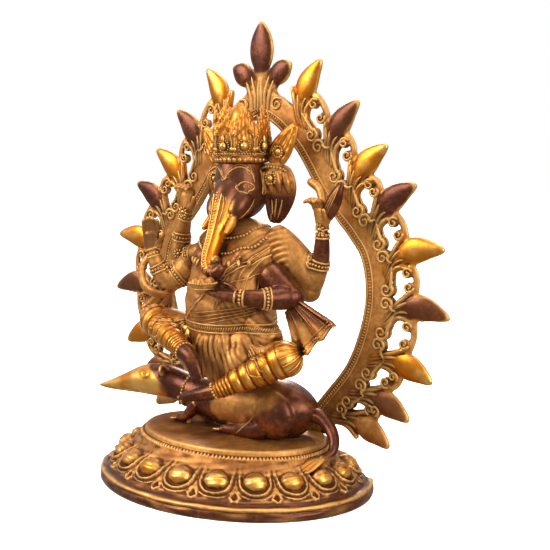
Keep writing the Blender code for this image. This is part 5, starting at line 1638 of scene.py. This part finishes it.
class STATUE_OT_offerings(bpy.types.Operator):
    """Model the bowl of sweets and the bud on its stalk"""

    bl_idname = "statue.offerings"
    bl_label = "Bowl and bud"

    def execute(self, context):
        self.bowl()
        self.bud()
        return {"FINISHED"}

    def bowl(self):
        rows = [(9, -18, 132 + z, r) for z, r in ((-5, 3.9), (-4, 4.4), (-1, 7.2), (1.2, 8.2), (2.4, 8.3))]
        cup = limb(rows, 32, 30, (1, 0, 0), dome=24)
        sweets = [
            ball((9 + 4.6 * math.cos(a), -18 + 4.6 * math.sin(a), 134.4), 3.0, segments=16, rings=10)
            for a in np.linspace(0, 2 * math.pi, 6, endpoint=False)
        ]
        sweets.append(ball((9, -18, 136.2), 3.0, segments=16, rings=10))
        piece = melted("sweets_bowl_casting", [cup, *sweets], grain_of(0.55), 1)
        skin = Skin(piece)
        chased = [
            beads(skin, hoop((9, -18, 134), (0, 0, 1), 8.6), 0.75, closed=True),
            raised(skin, hoop((9, -18, 130.5), (0, 0, 1), 7), 0.45, closed=True)
        ]
        set_on_frame(
            dressed(tinted(piece, gold=0.22, dark=0.12), chased), "statue", "polished_brass", "sweets_bowl"
        )

    def bud(self):
        stalk = [
            (48, 37, 196, 2.2, 2.8), (57, 36, 191, 2.4, 3), (63, 32, 181, 2.4, 2.8),
            (65, 29.5, 172, 2.4, 2.6)
        ]
        start, end = vec(64.8, 30, 168.5), vec(79, 30, 196.0)
        outline = ((0, 1.6), (0.12, 3.0), (0.3, 4.5), (0.5, 5.0), (0.7, 4.3), (0.86, 2.7), (1, 0.7))
        shapes = [
            limb(stalk, 14, 40, (0, 1, 0.2)),
            limb([(*(start + (end - start) * t), w, w * 0.8) for t, w in outline], 20, 50, (1, 0, -0.5))
        ]
        piece = melted("lotus_bud_casting", shapes, grain_of(0.6), 1)
        skin = Skin(piece)
        chased = []
        for aside in (-1, 0, 1):
            vein = [
                start + (end - start) * t + vec(
                    2.8 * aside * math.sin(math.pi * t), -6, 1.5 * aside * math.sin(math.pi * t)
                )
                for t in np.linspace(0.08, 0.95, 16)
            ]
            chased.append(raised(skin, vein, 0.4, taper=True))
        way = end - start
        chased.append(beads(skin, hoop(start + way * 0.1, way, 3.4, 18), 0.7, closed=True))
        tone = lambda p, n: (
            0.1 + 0 * p[:, 0],
            0.85 * ramp((p - start) @ unit(way), 4, 8) * ramp(6 - near_line(p, [start, end]), 0, 1.5),
            0 * p[:, 0]
        )
        set_on_frame(dressed(paint(piece, tone), chased), "statue", "maroon_patina", "lotus_bud")


# Aureole

BAND = (
    (43, 34), (56, 50), (77, 76), (88.5, 104), (92, 128), (88, 151), (77, 167), (65, 180), (53, 196),
    (36, 221), (17, 239), (0, 246)
)
ROOTS = ((34, 233), (56, 209), (72, 185), (88, 165), (99, 140), (100, 112), (90, 85), (75, 61), (62, 45))
RISE = (70, 60, 52, 44, 22, 4, -14, -16, -20)
FLAME_TONES = (
    (0.85, 0), (0.1, 0.75), (0.85, 0), (0, 0.9), (0.85, 0), (0.05, 0.7), (0.85, 0), (0, 0.6), (0.1, 0)
)


class STATUE_OT_aureole(bpy.types.Operator):
    """Model the aureole: ticked band, stemmed flames, scroll links and the three-leaved finial"""

    bl_idname = "statue.aureole"
    bl_label = "Aureole"

    def execute(self, context):
        shapes, crisp, leaves = [self.band()], [], []
        for side in (-1, 1):
            paths = [self.path(i, side) for i in range(len(ROOTS))]
            for i, path in enumerate(paths):
                body, ribs, lobes = self.flame(path, side)
                shapes += body
                crisp += [tinted(rib, FLAME_TONES[i][0], dark=0.25) for rib in ribs]
                leaves.append((path[10:], *FLAME_TONES[i], 8.6))
                if FLAME_TONES[i][0] > 0.5:
                    leaves += [
                        (path[1:11], *FLAME_TONES[i], 7.0), *((lobe, *FLAME_TONES[i], 4.0) for lobe in lobes)
                    ]
                if i + 1 < len(paths):
                    for body, curls in (
                        self.link(path, paths[i + 1], side), self.scrolls(path, paths[i + 1], side)
                    ):
                        shapes += body
                        crisp += [tinted(curl) for curl in curls]
        made, crowning, curls = self.finial()
        shapes += made
        leaves += crowning
        crisp += [tinted(curl) for curl in curls]
        for side in (-1, 1):
            shapes.append(block((side * TENON_X, PLANE_Y, 30.5), (9.6, 3.2, 14.6)))
        grain = context.scene.statue_sizes.aureole_grain
        piece = melted("aureole_casting", shapes, grain, 1)
        skin = Skin(piece)
        chased = self.ticks(skin) + crisp
        paint(piece, lambda p, n: self.finish(p, leaves))
        set_on_frame(shaded_and_tarnished(piece, chased), "aureole", "antique_brass", "aureole")
        set_on_frame(joined("aureole_chasing", chased), "aureole", "antique_brass")
        return {"FINISHED"}

    def line(self, count=160):
        right = np.array(BAND, float)
        both = np.vstack([right, right[-2::-1] * (-1, 1)])
        spots = drawn(both, count)
        return np.stack([spots[:, 0], np.full(count, PLANE_Y), spots[:, 1]], axis=1)

    def band(self):
        line, out = self.rail(160)

        def shape(u, v):
            at = (v + 1) / 2 * (len(line) - 1)
            spot = np.column_stack([np.interp(at, np.arange(len(line)), line[:, k]) for k in range(3)])
            across = np.column_stack([np.interp(at, np.arange(len(line)), out[:, k]) for k in range(3)])
            made = spot + across * (u * 8.9)[:, None]
            made[:, 2] = np.maximum(made[:, 2], 34.4)
            return made

        return plate(14, 300, shape, 4.2)

    def rail(self, count, shift=0.0, face=0.0):
        """The band's middle line drawn aside by shift (outward) and off its face, with its outward way."""
        line = self.line(count)
        out = np.cross(unit(np.gradient(line, axis=0)), (0.0, 1.0, 0.0))
        out = out if out[count // 2, 2] > 0 else -out
        spots = line + out * shift + vec(0, face, 0)
        spots[:, 2] = np.maximum(spots[:, 2], 35.0)
        return spots, out

    def path(self, index, side):
        x, z = ROOTS[index]
        angle, bend = (
            math.radians(RISE[index]),
            math.radians(RISE[index] + (38 if index < 4 else 52 if index < 6 else 30))
        )
        root = np.array((x, PLANE_Y, z), float)
        tip = root + vec(math.cos(angle), 0, math.sin(angle)) * 41
        knee = root + vec(math.cos(bend), 0, math.sin(bend)) * 41 * 0.45
        t = np.linspace(0, 1, 24)[:, None]
        line = (1 - t) ** 2 * root + 2 * t * (1 - t) * knee + t**2 * tip
        return line * vec(side, 1, 1)

    def below(self, path, side):
        """The way from a flame's middle line towards the flame below it."""
        return np.cross(unit(path[-1] - path[4]), (0.0, 1.0, 0.0)) * -side

    def flame(self, path, side):
        """A plump pointed leaf on a fanned stem, with a lobe that bows out to each side."""
        down = self.below(path, side)
        root = path[0] - unit(path[3] - path[0]) * 5
        stem = [
            (*root, 5.0, 2.1), (*path[2], 5.0, 2.1), (*path[6], 5.8, 2.1), (*path[10], 7.4, 2.1),
            (*path[13], 6.4, 1.8)
        ]
        shapes, ribs, lobes = [limb(stem, 20, 40, down)], [], []
        outline = (
            (7, 2.6, 2.0), (9, 4.6, 2.6), (11, 6.6, 3.0), (13, 7.9, 3.2), (15, 8.2, 3.2), (17, 7.3, 3.0),
            (19, 5.8, 2.7), (21, 4.0, 2.2), (22, 2.9, 1.8), (23, 1.4, 1.2)
        )
        shapes.append(limb([(*path[k], w, h) for k, w, h in outline], 24, 52, down, dome=16))
        for way in (-1, 1):
            drift = down * way
            lobe = [
                (*(root + drift * 3.4), 1.7, 2.5), (*(path[3] + drift * 4.0), 1.8, 2.7),
                (*(path[7] + drift * 5.6), 1.9, 2.8), (*(path[10] + drift * 8.2), 1.8, 2.7),
                (*(path[12] + drift * 10.4), 1.6, 2.4)
            ]
            shapes.append(limb(lobe, 12, 40, down))
            lobes.append(np.array(lobe)[1:, :3])
            for face in (-1, 1):
                lift = vec(0, 1.75 * face, 0)
                for near, far in ((1.3, 2.4), (3.6, 5.8)):
                    rib = [
                        (*(root + drift * near + lift), 1.1, 0.8),
                        (*(path[4] + drift * (near + 0.4) + lift), 1.5, 1.1),
                        (*(path[8] + drift * far + lift), 1.5, 1.1),
                        (*(path[11] + drift * far * 1.5 + lift * 0.9), 0.6)
                    ]
                    ribs.append(limb(rib, 6, 18, down))
        return shapes, ribs, lobes

    def link(self, path, following, side):
        """The bow that chains a flame to the next, with a curl wound in from each end."""
        above, under = self.below(path, side), self.below(following, side)
        start, end = path[12] + above * 9.6, following[12] - under * 9.6
        outward = unit(np.cross(end - start, (0.0, 1.0, 0.0)))
        outward = outward * np.sign(outward @ (path[12] - path[4]))
        middle = (start + end) / 2 + outward * 2.6
        line = [start - above * 3, start + outward * 1.2, middle, end + outward * 1.2, end + under * 3]
        shapes, curls = [limb([(*p, 1.5, 2.3) for p in line], 12, 44, (0, 1, 0.01))], []
        heading = math.degrees(math.atan2(outward[2], outward[0]))
        for spot, turn in ((start * 0.80 + end * 0.20, 1), (start * 0.20 + end * 0.80, -1)):
            centre = spot - outward * 2.6
            for face in (-1.7, 1.7):
                curls.append(spiral(
                    centre + vec(0, face, 0), heading, 3.5, 1.35, 0.3 * np.sign(face), turn * side, 1.05
                ))
            shapes.append(ball(centre, (3.2, 1.6, 3.2), segments=14, rings=8))
        return shapes, curls

    def scrolls(self, path, following, side):
        """Two volutes set back to back on the band's outer edge between two stems."""
        shapes, curls = [], []
        line, out = self.rail(320)
        for t, flip, root in ((0.34, 1, path), (0.66, -1, following)):
            spot = path[0] * (1 - t) + following[0] * t
            at = np.argmin(np.linalg.norm(line - spot, axis=1))
            centre = line[at] + out[at] * 6.4
            heading = math.degrees(math.atan2(out[at][2], out[at][0]))
            for face in (-1, 1):
                lift = vec(0, 2.2 * face, 0)
                curls.append(spiral(
                    centre + lift * 0.95, heading + 40 * flip * side, 4.7, 1.5, 0.4 * face, -flip * side, 1.2
                ))
                tail = [
                    centre + out[at] * 3.2 + lift, centre * 0.55 + root[2] * 0.45 + out[at] * 2.6 + lift,
                    root[5] + lift * 0.9
                ]
                curls.append(limb([(*tail[0], 1.2), (*tail[1], 1.2), (*tail[2], 0.6)], 6, 16, (0, 1, 0.01)))
            shapes.append(ball(centre, (4.9, 2.0, 4.9), segments=16, rings=10))
        return shapes, curls

    def finial(self):
        base = vec(0, PLANE_Y, 249.0)
        shapes = [limb([
            (0, PLANE_Y, 234, 6, 2.8), (0, PLANE_Y, 246, 5, 3.0), (0, PLANE_Y, 256, 5, 2.9),
            (0, PLANE_Y, 264, 4, 2.5)
        ], 20, 40, (1, 0, 0))]
        marks = []
        for angle, length, half in ((90, 50.6, 9.4), (42, 33, 7.4), (138, 33, 7.4)):
            way = vec(math.cos(math.radians(angle)), 0, math.sin(math.radians(angle)))
            outline = (
                (0.0, 0.3), (0.2, 0.40), (0.36, 0.62), (0.5, 0.95), (0.64, 1.04), (0.78, 0.9), (0.9, 0.55),
                (1.0, 0.14)
            )
            curve = vec(0, 0, 3.0) if angle != 90 else np.zeros(3)
            rows = [
                (*(base + way * length * t + curve * math.sin(math.pi * t)), half * w, 1.2 + 1.9 * w)
                for t, w in outline
            ]
            shapes.append(limb(rows, 18, 44, np.cross(way, (0.0, 1.0, 0.0)), dome=16))
            marks.append((np.array([r[:3] for r in rows[3:]]), 0.0, 0.8, half + 1.0))
        curls = []
        for side in (-1, 1):
            shapes.append(ball((side * 8, PLANE_Y, 250), (6, 2.0, 7)))
            shapes.append(limb([
                (side * 3, PLANE_Y, 240, 2, 2.6), (side * 7, PLANE_Y, 250, 2, 2.7),
                (side * 15, PLANE_Y, 262, 1.6, 2.4), (side * 20, PLANE_Y, 266, 1.0, 1.8)
            ], 10, 30, (1, 0, 0)))
            shapes.append(ball((side * 14, PLANE_Y, 245), (5, 2.0, 5)))
            for face in (-1, 1):
                y = PLANE_Y + 2.1 * face
                curls.append(spiral((side * 14, y, 245), 90 - side * 60, 4.6, 1.5, 0.4 * face, side, 1.2))
                for foot, middle, top in ((1.4, 1.2, 1.0), (4.0, 4.2, 7.5), (6.4, 8.0, 13.0)):
                    rows = [
                        (side * foot, y, 240, 0.9), (side * middle, y, 252, 1.2),
                        (side * top, y - 0.5 * face, 264, 0.6)
                    ]
                    curls.append(limb(rows, 8, 26, (1, 0, 0.01)))
        return shapes, marks, curls

    def ticks(self, skin):
        """The ticked border near the band's inner edge, between two fine lines, on both faces."""
        chased = []
        for face in (-1, 1):
            row, _ = self.rail(260, -5.2, 5.0 * face)
            chased.append(tinted(hatched(skin, row[4:-4], 2.7, 0.95, 1.9, lift=0.1), dark=0.05))
            for shift in (-7.3, -3.3):
                rail, _ = self.rail(200, shift, 2.15 * face)
                chased.append(tinted(limb([(*p, 0.6) for p in rail[2:-2]], 6, 300, (0, 1, 0.01), dome=300)))
        return chased

    def finish(self, points, leaves):
        gold, maroon, dark = (np.full(len(points), share) for share in (0.1, 0.06, 0.07))
        for path, bright, lacquer, reach in leaves:
            away = near_line(points, path)
            share = ramp(reach - away, 0, 2.5)
            # Each leaf darkens towards its margins: painted shade on its rounded sides, which also turns the
            # gold amber.
            dark = np.maximum(dark, share * (0.07 + 0.24 * ramp(away, 2.5, 6.5)))
            gold = gold * (1 - share) + bright * share
            maroon = maroon * (1 - share) + lacquer * share
        return gold, maroon, dark


class STATUE_OT_fasteners(bpy.types.Operator):
    """Finish the tie rod, washer, nut and rivets under the base"""

    bl_idname = "statue.fasteners"
    bl_label = "Fasteners"

    def execute(self, context):
        for name in ("tie_rod", "tie_washer", "tie_nut", "rat_rivet_front", "rat_rivet_rear"):
            node = frame["nodes"][name]
            node.data.materials.clear()
            node.data.materials.append(bpy.data.materials["antique_brass_finish"])
        return {"FINISHED"}


CELL = 2.0  # grid in which nearby surfaces are counted, mm
MARGIN = 14  # room for the grid round the statue, mm
LOOK_OUT = 3.6  # distance off the skin at which neighbours are counted, mm


class STATUE_OT_patina(bpy.types.Operator):
    """Find worn edges, which also carry painted highlight, and recesses, which carry patina and painted
    shade, on every casting
    """

    bl_idname = "statue.patina"
    bl_label = "Edges and recesses"

    def execute(self, context):
        castings = [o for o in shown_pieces() if o.type == "MESH" and "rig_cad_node" not in o]
        low = np.array(CAD_LOW) / MM - MARGIN
        shape = np.ceil((np.array(CAD_HIGH) / MM + MARGIN - low) / CELL).astype(int)
        crowd = np.zeros(shape)
        for piece in castings:
            area = sum(p.area for p in piece.data.polygons) / MM**2 / max(1, len(piece.data.vertices))
            at = np.clip(((points_of(piece) - low) / CELL).astype(int), 0, shape - 1)
            np.add.at(crowd, tuple(at.T), area)
        for axis in range(3):
            crowd = sum(np.roll(crowd, k, axis) * w for k, w in ((-1, 0.25), (0, 0.5), (1, 0.25)))
        for piece in castings:
            points, normals = points_of(piece), normals_of(piece)
            at = np.clip(((points + normals * LOOK_OUT - low) / CELL).astype(int), 0, shape - 1)
            nearby = crowd[tuple(at.T)] / CELL**2
            # Crowding by nearby surfaces darkens the recess mark: painted shade of neighbouring parts.
            self.store(piece, "recess", self.even(piece, ramp(nearby, 0.25, 1.15), 2))
            bulge = self.bulge(piece, points, normals)
            self.store(piece, "edge", ramp(bulge, 0.05, 0.32))
            # Hollows join the same mark: patina, and painted shade in the creases.
            hollow = ramp(-bulge, 0.04, 0.30)
            recess = piece.data.attributes["recess"]
            values = np.empty(len(points), np.float32)
            recess.data.foreach_get("value", values)
            recess.data.foreach_set(
                "value", np.clip(np.maximum(values, 0.9 * hollow), 0, 1).astype(np.float32)
            )
        return {"FINISHED"}

    def edges(self, piece):
        ends = np.empty(len(piece.data.edges) * 2, np.int32)
        piece.data.edges.foreach_get("vertices", ends)
        return ends.reshape(-1, 2)

    def even(self, piece, values, rounds):
        ends = self.edges(piece)
        count = np.bincount(ends.ravel(), minlength=len(values)).astype(float)
        for _ in range(rounds):
            total = (
                np.bincount(ends[:, 0], values[ends[:, 1]], len(values))
                + np.bincount(ends[:, 1], values[ends[:, 0]], len(values))
            )
            values = 0.5 * values + 0.5 * total / np.maximum(count, 1)
        return values

    def bulge(self, piece, points, normals):
        """How far each point stands proud of its smoothed surroundings, in millimetres."""
        smooth = np.stack([self.even(piece, points[:, k], 8) for k in range(3)], axis=1)
        return self.even(piece, ((points - smooth) * normals).sum(axis=1), 1)

    def store(self, piece, key, values):
        made = piece.data.attributes.get(key) or piece.data.attributes.new(key, "FLOAT", "POINT")
        made.data.foreach_set("value", np.asarray(values, np.float32))


CAMERA_PLACE, CAMERA_TARGET = (0.41415, -0.46502, 0.19943), (0, 0.06495, 0.13157)
CAMERA_LENS, CAMERA_SENSOR = 64.95, 36
LIGHT_TARGET = (0, 0.02, 0.14)
LIGHTS = (  # name, place, size in metres, watts
    ("key", (-0.60, -0.78, 0.72), 0.60, 11.5),
    ("fill", (1.05, -0.35, 0.50), 0.70, 9.0),
    ("top", (0.1, 0.15, 1.25), 0.80, 7.5),
    ("rim", (-0.7, 0.9, 0.7), 0.50, 7.0),
)
SKY = (("From Min", -0.15), ("From Max", 0.9), ("To Min", 0.40), ("To Max", 1.16))


class STATUE_OT_stage(bpy.types.Operator):
    """Set the pale floor, the studio light and the camera"""

    bl_idname = "statue.stage"
    bl_label = "Stage"

    def execute(self, context):
        bpy.ops.object.select_all(action="DESELECT")
        bpy.ops.mesh.primitive_circle_add(vertices=96, radius=12, fill_type="NGON")
        floor = context.object
        floor.name = "floor"
        paint_floor = bpy.data.materials.new("pale_floor")
        paint_floor.use_nodes = True
        shader = paint_floor.node_tree.nodes["Principled BSDF"]
        shader.inputs["Base Color"].default_value = (0.90, 0.895, 0.885, 1)
        shader.inputs["Roughness"].default_value = 0.6
        shader.inputs["Emission Color"].default_value = (1, 1, 1, 1)
        shader.inputs["Emission Strength"].default_value = 0.72
        floor.data.materials.append(paint_floor)
        floor.visible_glossy = False
        floor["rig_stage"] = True
        self.lights()
        self.world()
        camera = bpy.data.objects.new("camera", bpy.data.cameras.new("camera"))
        context.scene.collection.objects.link(camera)
        camera.data.lens = CAMERA_LENS
        camera.data.sensor_width = CAMERA_SENSOR
        self.aim(camera, CAMERA_PLACE, CAMERA_TARGET)
        context.scene.camera = camera
        context.scene.view_settings.view_transform = "Standard"
        return {"FINISHED"}

    def aim(self, item, place, target):
        item.location = place
        item.rotation_euler = (Vector(target) - Vector(place)).to_track_quat("-Z", "Y").to_euler()

    def lights(self):
        for name, place, size, power in LIGHTS:
            data = bpy.data.lights.new(name, "AREA")
            data.shape = "SQUARE"
            data.size = size
            data.energy = power
            light = bpy.data.objects.new(name, data)
            self.aim(light, place, LIGHT_TARGET)
            bpy.context.scene.collection.objects.link(light)

    def world(self):
        """Light that falls off from overhead to the floor, on a white ground for the camera."""
        world = bpy.data.worlds.new("studio")
        world.use_nodes = True
        tree = world.node_tree
        place = tree.nodes.new("ShaderNodeTexCoord")
        height = tree.nodes.new("ShaderNodeSeparateXYZ")
        fall = tree.nodes.new("ShaderNodeMapRange")
        for key, value in SKY:
            fall.inputs[key].default_value = value
        back = tree.nodes["Background"]
        white = tree.nodes.new("ShaderNodeBackground")
        for shade in (back, white):
            shade.inputs["Color"].default_value = (1, 1, 1, 1)
        ray = tree.nodes.new("ShaderNodeLightPath")
        mix = tree.nodes.new("ShaderNodeMixShader")
        tree.links.new(place.outputs["Generated"], height.inputs[0])
        tree.links.new(height.outputs["Z"], fall.inputs["Value"])
        tree.links.new(fall.outputs["Result"], back.inputs["Strength"])
        tree.links.new(ray.outputs["Is Camera Ray"], mix.inputs["Fac"])
        tree.links.new(back.outputs[0], mix.inputs[1])
        tree.links.new(white.outputs[0], mix.inputs[2])
        tree.links.new(mix.outputs[0], tree.nodes["World Output"].inputs["Surface"])
        bpy.context.scene.world = world


STEPS = (
    STATUE_OT_finishes, STATUE_OT_lotus_base, STATUE_OT_rat, STATUE_OT_torso, STATUE_OT_head,
    STATUE_OT_crown, STATUE_OT_arms, STATUE_OT_legs, STATUE_OT_scarf_ends, STATUE_OT_offerings,
    STATUE_OT_aureole, STATUE_OT_fasteners, STATUE_OT_patina, STATUE_OT_stage
)


class STATUE_PT_panel(bpy.types.Panel):
    """Steps and settings of the statue"""

    bl_idname = "STATUE_PT_panel"
    bl_label = "Brass statue"
    bl_space_type = "VIEW_3D"
    bl_region_type = "UI"
    bl_category = "Statue"

    def draw(self, context):
        for group in (context.scene.statue_sizes, context.scene.statue_finishes):
            for key in group.__annotations__:
                self.layout.prop(group, key)
        for step in STEPS:
            self.layout.operator(step.bl_idname)


CLASSES = (StatueSizes, StatueFinishes, *STEPS, STATUE_PT_panel)


def register():
    for item in CLASSES:
        bpy.utils.register_class(item)
    bpy.types.Scene.statue_sizes = bpy.props.PointerProperty(type=StatueSizes)
    bpy.types.Scene.statue_finishes = bpy.props.PointerProperty(type=StatueFinishes)


def unregister():
    del bpy.types.Scene.statue_finishes
    del bpy.types.Scene.statue_sizes
    for item in reversed(CLASSES):
        bpy.utils.unregister_class(item)


def main():
    for old in [o for o in bpy.data.objects if o.type in {"CAMERA", "LIGHT"} or o.name == "Cube"]:
        bpy.data.objects.remove(old)
    register()
    for step in STEPS:
        group, name = step.bl_idname.split(".")
        getattr(getattr(bpy.ops, group), name)()


if __name__ == "__main__":
    main()
